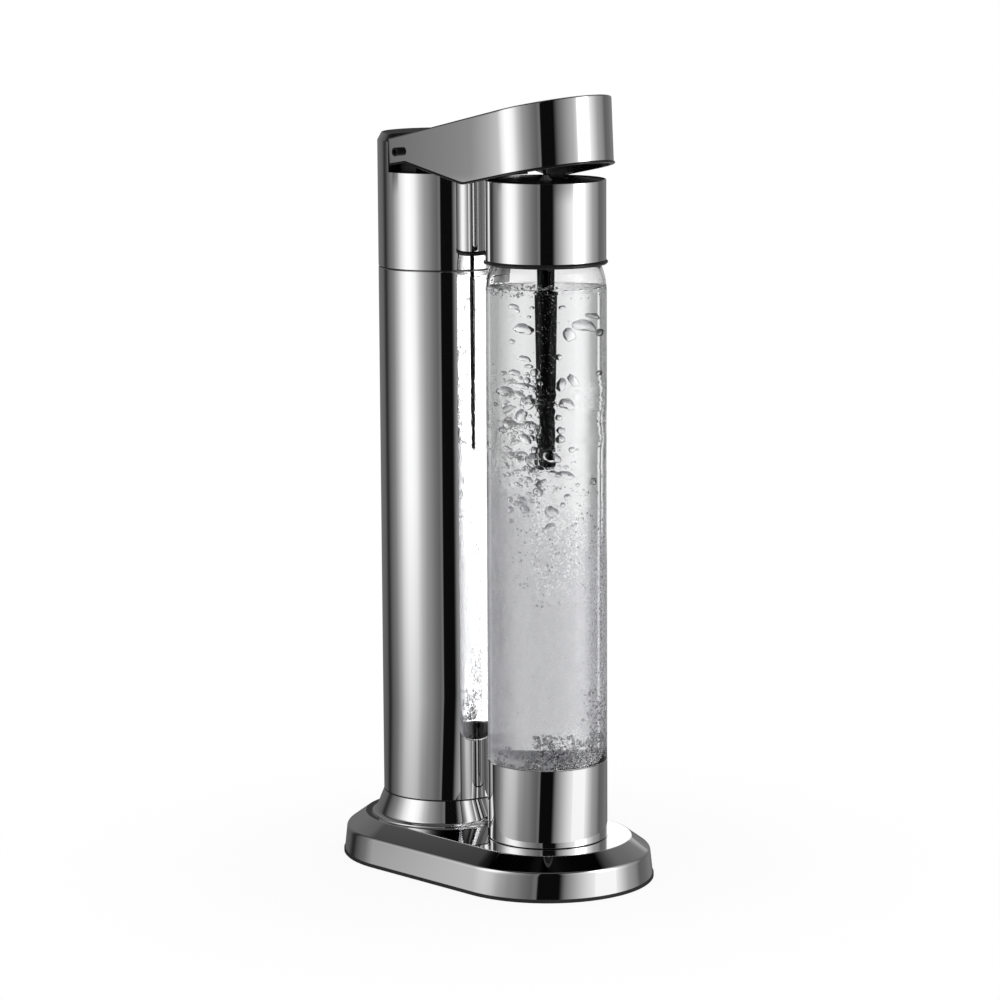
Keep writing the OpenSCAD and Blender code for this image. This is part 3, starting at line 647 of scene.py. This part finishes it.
clear_plastic = finish("clear_plastic", {"Transmission Weight": 1.0, "IOR": 1.5}, clear_paint)
piece("bottle_clear", swept("bottle_clear", bottle_profile, (bottle_y,), 192),
      clear_plastic, "bottle", "clear_bottle", "bottle_body")
cup_edge = 0.0005
cup_sheet = 0.0007
cup_in = cup_r - cup_sheet
cup_flange = cup_r - 0.008
cup_profile = [(cup_flange, cup_low.z), (cup_r - cup_edge, cup_low.z),
               *corner((0.0, cup_low.z), (cup_r, cup_low.z), (cup_r, cup_high.z), cup_edge, 8),
               (cup_r, cup_high.z - edge), (cup_r - edge, cup_high.z), (cup_in, cup_high.z),
               (cup_in, cup_low.z + cup_sheet), (cup_flange, cup_low.z + cup_sheet)]
piece("cup_polished", swept("cup_polished", cup_profile, (bottle_y,)),
      polished_steel, "bottle", "polished_steel", "bottle_cup")

# Water: fills the bottle to its shoulder. Fine gas bubbles cloud it from the
# bottom up, and leave it clear round the nozzle.
facing = math.radians(-134.85)
water_top = shoulder_z + 0.0046
overlap = 0.0002
brim_w = 0.0022
brim_low = water_top - 0.0009
water_in = low_in + overlap
water_foot = floor_z - overlap
water_profile = [(0.0, floor_z + dome_in_h - overlap), (dome_r, water_foot),
                 *corner((0.0, water_foot), (water_in, water_foot), (water_in, cup_line), floor_round),
                 (water_in, step_low), (inner_r + overlap, step_high),
                 *[(r + overlap, z) for r, z in arc((mouth_r, shoulder_z), inner_r - mouth_r,
                                                    shoulder_h - bottle_wall, 0, 90, 32) if z < water_top],
                 (inner_r - overlap, water_top), (inner_r - brim_w, brim_low), (0.0, water_top - 0.001)]


def water_paint(place):
    up = place.axis("Z")
    ripple = place.noise(150.0, 2.0) * up.between(water_top - 0.003, water_top - 0.001)
    aside = (place.axis("Y") - bottle_y) * math.cos(facing) - place.axis("X") * math.sin(facing)
    churn = up.between(0.195, 0.225) * (1.0 - up.between(0.272, 0.292)) * (1.0 - aside.between(0.008, 0.016))
    churn = churn * place.noise(60.0).between(0.40, 0.62)
    ripple = ripple + churn * place.noise(260.0, 3.0, (1.0, 1.0, 1.6)) * 0.6
    return {"Base Color": place.noise(40.0).blend((0.985, 0.99, 0.995), (0.995, 1.0, 1.0)),
            "Normal": place.bump(ripple, 0.0012)}


def clouded(material, cloud_low, cloud_high, lean):
    """Turns clear water to a pale cloud of fine bubbles, below a ragged level that leans to one
    side. The cloud lies on the front of the bottle, and is thickest on the left over the cup."""
    tree = material.node_tree
    place = Wire(tree, tree.nodes["Texture Coordinate"].outputs["Object"])
    drift = place.noise(50.0, 3.0, (1.0, 1.0, 0.6))
    wisps = place.noise(190.0, 4.0, (1.0, 1.0, 0.55))
    grain = place.noise(1500.0, 2.0)
    east, north, up = place.axis("X"), place.axis("Y") - bottle_y, place.axis("Z")
    ahead = (east * math.cos(facing) + north * math.sin(facing)) / inner_r
    aside = (north * math.cos(facing) - east * math.sin(facing)) / inner_r
    level = up + aside * lean + (drift - 0.5) * 0.06 + (wisps - 0.5) * 0.045
    cloud = (1.0 - level.between(cloud_low, cloud_high)) * ahead.between(-0.5, 0.15)
    clear_foot = (1.0 - up.between(cup_line + 0.002, cup_line + 0.010)) * aside.between(0.1, 0.5)
    froth = ((1.0 - (up - aside * 0.014).between(cup_line + 0.004, cup_line + 0.030))
             * aside.between(-0.5, -0.1))
    edge_froth = aside.between(0.60, 0.82) * (1.0 - up.between(0.20, 0.25))
    trail = up.between(0.150, 0.185) * (1.0 - up.between(0.225, 0.245)) * aside.between(-0.45, -0.1)
    froth = place.math("ADD", froth, edge_froth + trail * drift.between(0.40, 0.56), clamp=True)
    speck = place.noise(700.0, 3.0).between(0.49, 0.60)
    cloud = cloud * (1.0 - clear_foot) * (1.0 - froth * speck * 0.9)
    foot = ((1.0 - up.between(cup_line, cup_line + 0.010)) * (1.0 - aside.between(-0.25, 0.45))
            * ahead.between(-0.2, 0.2))
    mottle = drift * 0.4 + wisps * 0.3 + grain * 0.3
    colour = mottle.between(0.35, 0.65).blend((0.70, 0.70, 0.76), (0.92, 0.92, 0.97))
    pale = place.add("ShaderNodeBsdfPrincipled", {}, {
        "Base Color": place.add("ShaderNodeMix", {"data_type": "RGBA"},
                                {"Factor": foot, "A": colour, "B": (0.98, 0.98, 1.0, 1.0)}, out="Result"),
        "Roughness": 1.0, "Specular IOR Level": 0.0})
    mixed = place.add("ShaderNodeMixShader", {}, {
        0: cloud * (mottle.between(0.3, 0.65) * 0.16 + 0.44) + foot * 0.4,
        1: Wire(tree, tree.nodes["Principled BSDF"].outputs[0]), 2: pale})
    tree.links.new(mixed.socket, tree.nodes["Material Output"].inputs["Surface"])
    return material


nozzle_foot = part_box("nozzle_tip")[0].z
clear_water = {"Transmission Weight": 1.0, "IOR": 1.33, "Roughness": 0.0}
water_finish = clouded(finish("clouded_water", clear_water, water_paint),
                       nozzle_foot - 0.040, nozzle_foot + 0.012, 0.016)
piece("water", swept("water", water_profile, (bottle_y,), 192), water_finish, "bottle", "clear_bottle")

# Large bubbles: gas that has just left the nozzle, torn into flat and bent
# shapes. They hang in the upper water, close behind the bottle's wall.
# Painted shade: a bubble's colour goes from white at its bottom to dark grey at its top, with some noise, for
# the dark arc along a real bubble's top.
def bubble_shade_paint(place):
    crown = place.add("ShaderNodeAttribute", {"attribute_name": "crown"}, out="Fac")
    return {"Base Color": crown.between(-0.3, 0.8).blend((1.0, 1.0, 1.0), (0.20, 0.20, 0.22))}


film = finish("bubble_film", {"Transmission Weight": 1.0, "IOR": 1.14, "Roughness": 0.0}, bubble_shade_paint)
# Each row: degrees from the bottle's front, height, half width and half height
# in millimetres, and tilt in degrees.
large_bubbles = [
    (-35, 324, 3.3, 1.4, 0), (-30, 322, 1.6, 1.1, -20), (-14, 324, 1.4, 0.8, 0), (17, 324, 2.2, 1.1, 0),
    (-17, 319, 1.1, 0.8, 0), (-24, 312, 6.0, 2.7, -8), (-37, 305, 1.9, 1.4, 0), (44, 313, 9.0, 3.0, -12),
    (25, 309, 3.3, 3.8, 30), (70, 308, 4.1, 2.2, 0), (-23, 296, 3.8, 1.6, -10), (13, 297, 2.2, 1.6, 10),
    (-18, 292, 2.7, 1.1, 0), (-35, 288, 3.8, 1.6, 0), (67, 286, 3.6, 1.4, 0), (-23, 281, 7.5, 1.6, -8),
    (-47, 277, 6.0, 2.7, 0), (29, 284, 2.2, 4.3, 40), (16, 282, 2.7, 3.8, -20), (22, 271, 4.6, 3.0, -20),
    (13, 264, 1.9, 1.6, 0), (15, 257, 2.4, 1.9, 10), (15, 252, 2.7, 2.4, 0), (27, 246, 1.9, 1.6, 0),
    (-20, 272, 4.3, 3.8, 20), (-16, 259, 4.3, 2.7, -20), (-29, 259, 3.3, 1.4, 15), (6, 242, 4.9, 2.7, -15),
    (-15, 240, 3.8, 4.4, 30), (-12, 246, 2.2, 2.2, 0), (56, 227, 2.7, 1.9, -30), (20, 232, 4.9, 1.9, -12),
    (22, 220, 2.2, 1.6, 0), (17, 216, 1.4, 1.4, 0), (5, 212, 3.8, 3.3, -35), (3, 203, 3.8, 2.5, 30),
    (-38, 283, 4.0, 1.2, 12), (-30, 276, 5.0, 1.8, -18), (-43, 268, 4.2, 2.0, 25), (-27, 265, 3.6, 3.0, 40),
    (-36, 260, 4.4, 1.6, -10), (-50, 256, 3.0, 1.6, 0), (-23, 252, 4.0, 2.2, -30), (-34, 250, 3.4, 1.4, 20),
    (-43, 246, 3.0, 1.2, -15), (-27, 243, 3.2, 2.0, 10), (-10, 235, 4.2, 2.2, 15), (9, 233, 3.6, 1.6, -20),
    (-5, 228, 3.0, 2.0, 30), (-19, 230, 2.6, 1.4, -25), (-31, 234, 2.6, 1.1, 15), (55, 318, 6.0, 1.6, -14)]
bubble_shell = 0.0305
form = bmesh.new()
# Each vertex keeps its height in the bubble, with noise, for the painted shade on the bubble's top.
crown = form.verts.layers.float.new("crown")
for turn, up, wide, tall, tilt in large_bubbles:
    deep = min(wide, tall) * 0.6 + 0.3
    reach = bubble_shell - deep / 1000
    angle = facing + math.radians(turn)
    seat = (Matrix.Translation((reach * math.cos(angle), bottle_y + reach * math.sin(angle), up / 1000))
            @ Matrix.Rotation(angle, 4, "Z") @ Matrix.Rotation(math.radians(tilt), 4, "X")
            @ Matrix.Diagonal((deep / 1000, wide / 1000, tall / 1000, 1.0)))
    ball = bmesh.ops.create_uvsphere(form, u_segments=24, v_segments=14, radius=1.0)
    for vert in ball["verts"]:
        bend = noise.noise(vert.co * 1.4 + Vector((turn, up, tilt)))
        vert[crown] = vert.co.z + 0.6 * noise.noise(vert.co * 1.1 + Vector((tilt, turn, up)))
        lift = (0.4 - vert.co.y ** 2) * 0.35 if wide > 1.5 * tall else 0.0
        vert.co = seat @ (vert.co * (1.0 + 0.32 * bend) + Vector((0.0, 0.0, lift)))
bmesh.ops.reverse_faces(form, faces=form.faces)
large_mesh = bpy.data.meshes.new("bubbles_large")
form.to_mesh(large_mesh)
form.free()
piece("bubbles_large", large_mesh, film, "bottle", "clear_bottle", crease=180.0)

# Fine bubbles: swarms that rise with the gas, cling to the wall and settle as
# froth over the steel cup. Each swarm fills a part of a ring round the bottle.
swarm = bpy.data.node_groups.new("bubble_swarm", "GeometryNodeTree")
swarm_measures = ("Inner", "Outer", "Taper", "Low", "High", "Settle", "From", "To",
                  "Smallest", "Largest", "Thin")
swarm_inputs = {"Count": "Int", "Seed": "Int", **dict.fromkeys(swarm_measures, "Float"), "Finish": "Material"}
for label, kind in swarm_inputs.items():
    swarm.interface.new_socket(label, in_out="INPUT", socket_type="NodeSocket" + kind)
swarm.interface.new_socket("Geometry", in_out="OUTPUT", socket_type="NodeSocketGeometry")
swarm_ids = {item.name: item.identifier for item in swarm.interface.items_tree if item.in_out == "INPUT"}
given = {socket.name: Wire(swarm, socket)
         for socket in swarm.nodes.new("NodeGroupInput").outputs if socket.name}
node = given["Count"]


def chance(stream):
    """A random number from 0 to 1 for each bubble, from its own stream."""
    return node.add("FunctionNodeRandomValue", {"data_type": "FLOAT"},
                    {"Seed": given["Seed"] + stream}, out=1)


def xyz(x, y, z):
    return node.add("ShaderNodeCombineXYZ", {}, {0: x, 1: y, 2: z})


rise_share = node.math("POWER", chance(1), given["Settle"])
place_z = given["Low"] + (given["High"] - given["Low"]) * rise_share
inner_2, outer_2 = given["Inner"] * given["Inner"], given["Outer"] * given["Outer"]
place_r = (node.math("SQRT", inner_2 + (outer_2 - inner_2) * chance(2))
           + given["Taper"] * (place_z - given["Low"]))
place_a = given["From"] + (given["To"] - given["From"]) * chance(3)
place_xyz = xyz(place_r * node.math("COSINE", place_a),
                place_r * node.math("SINE", place_a) + bottle_y, place_z)
spots = node.add("GeometryNodePoints", {}, {"Count": given["Count"], "Position": place_xyz})
where = node.add("GeometryNodeInputPosition")
spots = node.add("GeometryNodeDeleteGeometry", {"domain": "POINT"},
                 {"Geometry": spots, "Selection": where.noise(110.0, 2.0) < given["Thin"]})
ball = node.add("GeometryNodeMeshUVSphere", {}, {"Segments": 7, "Rings": 5, "Radius": 1.0})
# Each ball keeps its height as an attribute, for the painted shade that darkens the tops of the fine bubbles
# and the froth.
ball = node.add("GeometryNodeStoreNamedAttribute", {"data_type": "FLOAT", "domain": "POINT"},
                {"Geometry": ball, "Name": "crown", "Value": where.axis("Z")})
ball = node.add("GeometryNodeFlipFaces", {}, {"Mesh": ball})
ball = node.add("GeometryNodeSetShadeSmooth", {}, {"Geometry": ball})
size = given["Smallest"] + (given["Largest"] - given["Smallest"]) * node.math("POWER", chance(4), 3.0)
swarm_balls = node.add("GeometryNodeInstanceOnPoints", {}, {
    "Points": spots, "Instance": ball, "Rotation": xyz(chance(5) * 0.6, chance(6) * 0.6, 0.0),
    "Scale": xyz(size, size, size * (chance(7) * 0.4 + 0.6))})
swarm_balls = node.add("GeometryNodeRealizeInstances", {}, {"Geometry": swarm_balls})
swarm_balls = node.add("GeometryNodeSetMaterial", {}, {"Geometry": swarm_balls, "Material": given["Finish"]})
swarm.links.new(swarm_balls.socket, swarm.nodes.new("NodeGroupOutput").inputs["Geometry"])


def bubbles(count, seed, radii, heights, angles, sizes, **more):
    """The inputs of one swarm. Angles are in degrees from the bottle's front, lengths in metres."""
    return {"Count": count, "Seed": seed, "Inner": radii[0], "Outer": radii[1],
            "Low": heights[0], "High": heights[1], "Smallest": sizes[0], "Largest": sizes[1],
            "From": facing + math.radians(angles[0]), "To": facing + math.radians(angles[1]),
            "Taper": 0.0, "Settle": 1.0, "Thin": 0.0, **more}


def swarm_piece(name, body, slot, material, *swarms):
    """One mesh of several swarms."""
    form = bmesh.new()
    for values in swarms:
        host = bpy.data.objects.new(name, bpy.data.meshes.new(name))
        bpy.context.scene.collection.objects.link(host)
        grow = host.modifiers.new("swarm", "NODES")
        grow.node_group = swarm
        for label, value in {**values, "Finish": material}.items():
            grow[swarm_ids[label]] = value
        grown = bpy.data.meshes.new_from_object(host.evaluated_get(bpy.context.evaluated_depsgraph_get()))
        form.from_mesh(grown)
        bpy.data.objects.remove(host)
    mesh = bpy.data.meshes.new(name)
    form.to_mesh(mesh)
    form.free()
    return piece(name, mesh, material, body, slot, crease=180.0)


wall = inner_r - 0.0009
swarm_piece(
    "bubbles_fine", "bottle", "clear_bottle", film,
    bubbles(220, 11, (0.020, wall), (0.09, 0.325), (-85.0, 85.0), (0.0001, 0.0006)),
    bubbles(420, 23, (0.022, wall), (0.215, 0.288), (-62.0, -8.0), (0.0002, 0.0018), Thin=0.46),
    bubbles(60, 29, (0.022, 0.029), (0.205, 0.290), (-50.0, -4.0), (0.0007, 0.0034), Thin=0.44),
    bubbles(70, 31, (0.005, 0.013), (0.212, 0.250), (-180.0, 180.0), (0.0003, 0.0013)))

# Froth: bubbles in the skin of the water that lie close together over the cup,
# along the right edge and under the surface, with glints of the cards on them.
# Painted shade: a froth bubble's colour goes from white at its bottom to mid grey at its top.
def froth_shade_paint(place):
    crown = place.add("ShaderNodeAttribute", {"attribute_name": "crown"}, out="Fac")
    return {"Base Color": crown.between(-0.3, 0.9).blend((1.0, 1.0, 1.0), (0.50, 0.50, 0.53))}


foam = finish("froth_film", {"Transmission Weight": 1.0, "IOR": 1.33, "Roughness": 0.0}, froth_shade_paint)
skin = inner_r + 0.0006
on_skin = (skin, skin)
swarm_piece(
    "bubbles_froth", "bottle", "clear_bottle", foam,
    bubbles(700, 37, on_skin, (0.160, 0.240), (-35.0, 55.0), (0.0002, 0.0007), Thin=0.50),
    bubbles(700, 41, on_skin, (0.072, 0.275), (56.0, 84.0), (0.0002, 0.0007), Thin=0.46),
    bubbles(700, 47, on_skin, (0.0695, 0.112), (34.0, 84.0), (0.0002, 0.0010), Settle=1.3, Thin=0.43),
    bubbles(1000, 53, on_skin, (0.0690, 0.088), (-14.0, 62.0), (0.0003, 0.0012), Settle=1.6, Thin=0.42),
    bubbles(420, 57, on_skin, (0.0690, 0.080), (-62.0, -8.0), (0.0002, 0.0009), Settle=2.0, Thin=0.47),
    bubbles(260, 59, on_skin, (0.072, 0.21), (-65.0, 60.0), (0.0001, 0.0004), Settle=1.6),
    bubbles(130, 61, on_skin, (water_top - 0.004, water_top + 0.0040), (-85.0, -20.0), (0.0002, 0.0008),
            Taper=-0.10),
    bubbles(60, 63, (0.006, 0.026), (water_top - 0.0008, water_top + 0.0012), (-100.0, 20.0),
            (0.0003, 0.0010)),
    bubbles(80, 67, (0.010, wall), (water_top - 0.0060, water_top - 0.0018), (-180.0, 180.0),
            (0.00015, 0.0005)))


def glint_paint(place):
    return {"Base Color": place.noise(900.0).blend((0.88, 0.88, 0.90), (1.0, 1.0, 1.0)),
            "Roughness": place.noise(400.0) * 0.15 + 0.15}


glint = finish("froth_glint", {"Metallic": 0.8}, glint_paint)
swarm_piece(
    "froth_glints", "bottle", "clear_bottle", glint,
    bubbles(80, 71, (0.024, wall), (0.11, 0.325), (-70.0, 75.0), (0.0001, 0.0004)),
    bubbles(420, 73, on_skin, (0.0690, 0.075), (-20.0, 70.0), (0.0002, 0.0006), Thin=0.40),
    bubbles(60, 83, on_skin, (0.072, 0.25), (50.0, 84.0), (0.00012, 0.0005), Thin=0.44),
    bubbles(60, 89, on_skin, (0.165, 0.245), (-35.0, 50.0), (0.00015, 0.0006), Thin=0.47))
tube_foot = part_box("nozzle_tube")[0].z
swarm_piece(
    "nozzle_specks", "head", "clear_bottle", glint,
    bubbles(380, 79, (0.00370, 0.00375), (tube_foot, 0.329), (-45.0, 80.0), (0.00008, 0.00022), Taper=0.0165))

# Head: a polished steel sleeve over a plastic core, with a black ring under
# it. The head closes the bottle and carries the nozzle down into the water.
sleeve_low, sleeve_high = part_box("head_sleeve")
head_r = (sleeve_high.x - sleeve_low.x) / 2
sleeve_sheet = 0.0008
sleeve_round = 0.0005
sleeve_in = head_r - sleeve_sheet
sleeve_profile = [(sleeve_in, sleeve_low.z), (head_r - edge, sleeve_low.z), (head_r, sleeve_low.z + edge),
                  *corner((head_r, sleeve_low.z), (head_r, sleeve_high.z), (sleeve_in, sleeve_high.z),
                          sleeve_round, 6),
                  (sleeve_in, sleeve_high.z)]
piece("head_polished", swept("head_polished", sleeve_profile, (bottle_y,)),
      polished_steel, "head", "polished_steel", "head_sleeve")


def gloss_paint(place):
    swirl = place.noise(180.0, 3.0)
    return {"Base Color": swirl.blend((0.0025, 0.0035, 0.0035), (0.005, 0.0065, 0.0065)),
            "Roughness": swirl * 0.1 + 0.16}


coat(finish("gloss_black", {"IOR": 1.16}, gloss_paint), "nozzle_tube", "nozzle_tip")

# Camera: a long lens at the machine's front left, a little above its top and
# tipped down to it.
camera_data = bpy.data.cameras.new("camera")
camera_data.lens = 132.8
camera_data.sensor_width = 36.0
camera_data.shift_y = 0.002
camera_data.clip_end = 20.0
camera = bpy.data.objects.new("camera", camera_data)
bpy.context.scene.collection.objects.link(camera)
camera.matrix_world = (Matrix.Translation((-1.4189, -1.4674, 0.5487))
                       @ Matrix.Rotation(math.radians(-44.12), 4, "Z")
                       @ Matrix.Rotation(math.radians(80.52), 4, "X")
                       @ Matrix.Rotation(math.radians(-0.324), 4, "Z"))
bpy.context.scene.camera = camera

# Cards: a ring of white and dark card round the table with a lid over it, as
# polished steel is photographed. It shows only in what the machine mirrors.
to_camera = Vector((camera.matrix_world.translation.x, camera.matrix_world.translation.y)).normalized()
to_right = Vector((-to_camera.y, to_camera.x))


def tone(level):
    """A grey level, 0 to 255, as linear light; above 255 it is brighter than white."""
    share = level / 255
    if share > 1.0:
        return share
    return share / 12.92 if share <= 0.04045 else ((share + 0.055) / 1.055) ** 2.4


def along(place, direction):
    """How far a place lies in a level direction."""
    return place.add("ShaderNodeVectorMath", {"operation": "DOT_PRODUCT"},
                     {0: place, 1: (direction.x, direction.y, 0.0)}, out="Value")


def bearing(place):
    """0.5 towards the camera, and from there to 0 round the left and to 1 round the right."""
    return place.math("ARCTAN2", along(place, to_right), along(place, to_camera)) / (2 * math.pi) + 0.5


def ring(turn, stops):
    """A level for each bearing, given in degrees."""
    return turn.add("ShaderNodeValToRGB", {"stops": [((a + 180) / 360, v) for a, v in stops]}, {"Fac": turn})


# Each pair: a bearing in degrees from the camera, and a grey level.
left_cards = [(-180, 60), (-167.5, 60), (-165, 116), (-146, 110), (-130, 98), (-126, 74), (-121, 46),
              (-117, 60), (-113, 90), (-98, 138), (-88, 190), (-79, 240), (-70, 277), (-62, 277),
              (-54, 251), (-44, 197), (-35, 157), (-20, 116), (-12, 98), (-8.6, 116), (-7, 110),
              (-5.6, 12), (14.6, 12), (14.8, 0), (180, 0)]
right_cards = [(-180, 0), (14.6, 0), (16.6, 72), (20, 124), (28, 170), (40, 223), (50, 252), (55, 640),
               (69, 640), (74, 252), (83, 210), (92, 165), (106, 135), (113, 99), (126, 107), (145, 128),
               (164, 118), (180, 90)]
card_r = 0.45
card_profile = [(card_r, -0.35), (card_r, 1.0)]
card_ring = bpy.data.objects.new("card_ring", swept("card_ring", card_profile, (0.0,), 256, False))
bpy.context.scene.collection.objects.link(card_ring)
card_ring.visible_camera = card_ring.visible_diffuse = card_ring.visible_transmission = False
card_ring.visible_shadow = card_ring.visible_volume_scatter = False
card_white = 1.09
# The lid is dark along this fold, a V that the base's bevel mirrors, and lit on both sides of it.
fold = Vector((0.0, -0.06))
fold_lean = 0.424


def card_paint(place):
    up = place.axis("Z")
    turn = bearing(place)
    low_turn = turn - place.math("MINIMUM", up, 0.0) * 0.25
    card = (ring(low_turn, [(a, tone(v)) for a, v in left_cards])
            + ring(low_turn, [(a, tone(v)) for a, v in right_cards]))
    dim = ring(turn, [(-180, 0.2), (-130, 0.3), (-95, 0.45), (-75, 0.6), (-50, 0.6), (-30, 0.2),
                      (-8, 0.12), (120, 0.1), (180, 0.2)])
    shade = ring(turn, [(-180, 0), (-101, 0), (-97, 0.55), (-86.6, 0.5), (-84.4, 0), (14, 0),
                        (18, 0.45), (44, 0.45), (60, 0.1), (70, 0), (180, 0)])
    white = (place.math("MINIMUM", card, card_white) * (1.0 - dim * (1.0 - up.between(-0.16, 0.2)))
             * (1.0 - shade * up.between(0.345, 0.362)) * (1.0 - up.between(0.42, 0.75) * 0.996))
    back = ring(turn, [(-180, 0), (140, 0), (150, 0.4), (158, 0.8), (164, 1.0), (176, 1.0), (180, 0)])
    back = back * up.between(0.09, 0.12) * (1.0 - up.between(0.18, 0.22))
    away = fold.dot(to_camera) - along(place, to_camera)
    aside = place.math("ABSOLUTE", along(place, to_right) - fold.dot(to_right))
    off_fold = away - aside * fold_lean
    lid = (up.between(0.72, 0.80) * off_fold.between(0.05, 0.11) * 0.38
           + up.between(0.985, 0.995) * (0.0 - off_fold).between(0.07, 0.13) * 0.10)
    glare = (place.math("MAXIMUM", card - card_white, 0.0) * up.between(0.0, 0.08)
             * (1.0 - up.between(0.42, 0.6)))
    return {"Emission Color": white + back * (1.1 - white) + glare + lid}


card_light = finish("card_light", {"Base Color": (0.0, 0.0, 0.0, 1.0), "Specular IOR Level": 0.0,
                                   "Emission Strength": 1.0}, card_paint)
card_ring.data.materials.append(card_light)

# Backdrop: the white behind the machine, the soft light of the room, and what
# the water and the clear bottle show when light bends through them.
backdrop = [(-180, 248), (-168, 236), (-158, 204), (-154, 158), (-146, 122), (-144.5, 250),
            (-142.5, 250), (-141, 80), (-112, 85), (-100, 300), (-60, 460), (-42, 280), (-26, 50),
            (-8, 20), (14, 12), (24, 40), (36, 280), (55, 700), (80, 700), (97, 270), (125, 136),
            (150, 142), (158, 185), (168, 240), (180, 248)]
world = bpy.data.worlds.new("studio")
bpy.context.scene.world = world
world.use_nodes = True
tree = world.node_tree
tree.nodes.clear()
ray = Wire(tree, tree.nodes.new("ShaderNodeTexCoord").outputs["Generated"])
path = tree.nodes.new("ShaderNodeLightPath")
is_camera = Wire(tree, path.outputs["Is Camera Ray"])
is_glossy = Wire(tree, path.outputs["Is Glossy Ray"])
is_transmission = Wire(tree, path.outputs["Is Transmission Ray"])
soft_level = 0.72
dark_ceiling = 0.004
seen_through = ring(bearing(ray), [(a, tone(v)) for a, v in backdrop])
plain = (1.0 - is_glossy) * (1.0 - is_transmission) * soft_level
light = is_glossy * dark_ceiling + seen_through * is_transmission + plain
strength = light * (1.0 - is_camera) + is_camera
background = ray.add("ShaderNodeBackground", {}, {"Color": strength, "Strength": 1.0})
output = tree.nodes.new("ShaderNodeOutputWorld")
tree.links.new(background.socket, output.inputs["Surface"])

# Table: a round sheet of pale paper that the machine stands on. It fades to the
# white of the backdrop about 30 cm out.
bpy.ops.mesh.primitive_circle_add(vertices=128, radius=1.6, fill_type="NGON", location=(0, 0, 0))
floor = bpy.context.object
floor.name = "table_sheet"
floor.visible_glossy = False
floor.visible_transmission = False
paper = bpy.data.materials.new("pale_paper")
paper.use_nodes = True
ptree = paper.node_tree
place = Wire(ptree, ptree.nodes.new("ShaderNodeTexCoord").outputs["Object"])
sheet_shader = ptree.nodes["Principled BSDF"]
sheet_shader.inputs["Base Color"].default_value = (0.9, 0.9, 0.9, 1.0)
sheet_shader.inputs["Roughness"].default_value = 0.9
distance = place.add("ShaderNodeVectorMath", {"operation": "LENGTH"}, {0: place}, out="Value")
glow = place.add("ShaderNodeEmission", {}, {"Color": (1.0, 1.0, 1.0, 1.0), "Strength": 1.0})
fade = place.add("ShaderNodeMixShader", {}, {0: distance.between(0.06, 0.30) * 0.12 + 0.88,
                                             1: Wire(ptree, sheet_shader.outputs[0]), 2: glow})
ptree.links.new(fade.socket, ptree.nodes["Material Output"].inputs["Surface"])
floor.data.materials.append(paper)

# Lamp: one large soft box over the table. It gives the faint shadow under the
# foot, and isn't mirrored in the steel.
lamp_data = bpy.data.lights.new("softbox", "AREA")
lamp_data.shape = "DISK"
lamp_data.size = 1.6
lamp_data.energy = 9.0
lamp = bpy.data.objects.new("softbox", lamp_data)
bpy.context.scene.collection.objects.link(lamp)
lamp.matrix_world = Matrix.Translation((-0.5, -0.4, 1.9))
lamp.visible_glossy = False
lamp.visible_transmission = False
bpy.context.scene.view_settings.view_transform = "Standard"
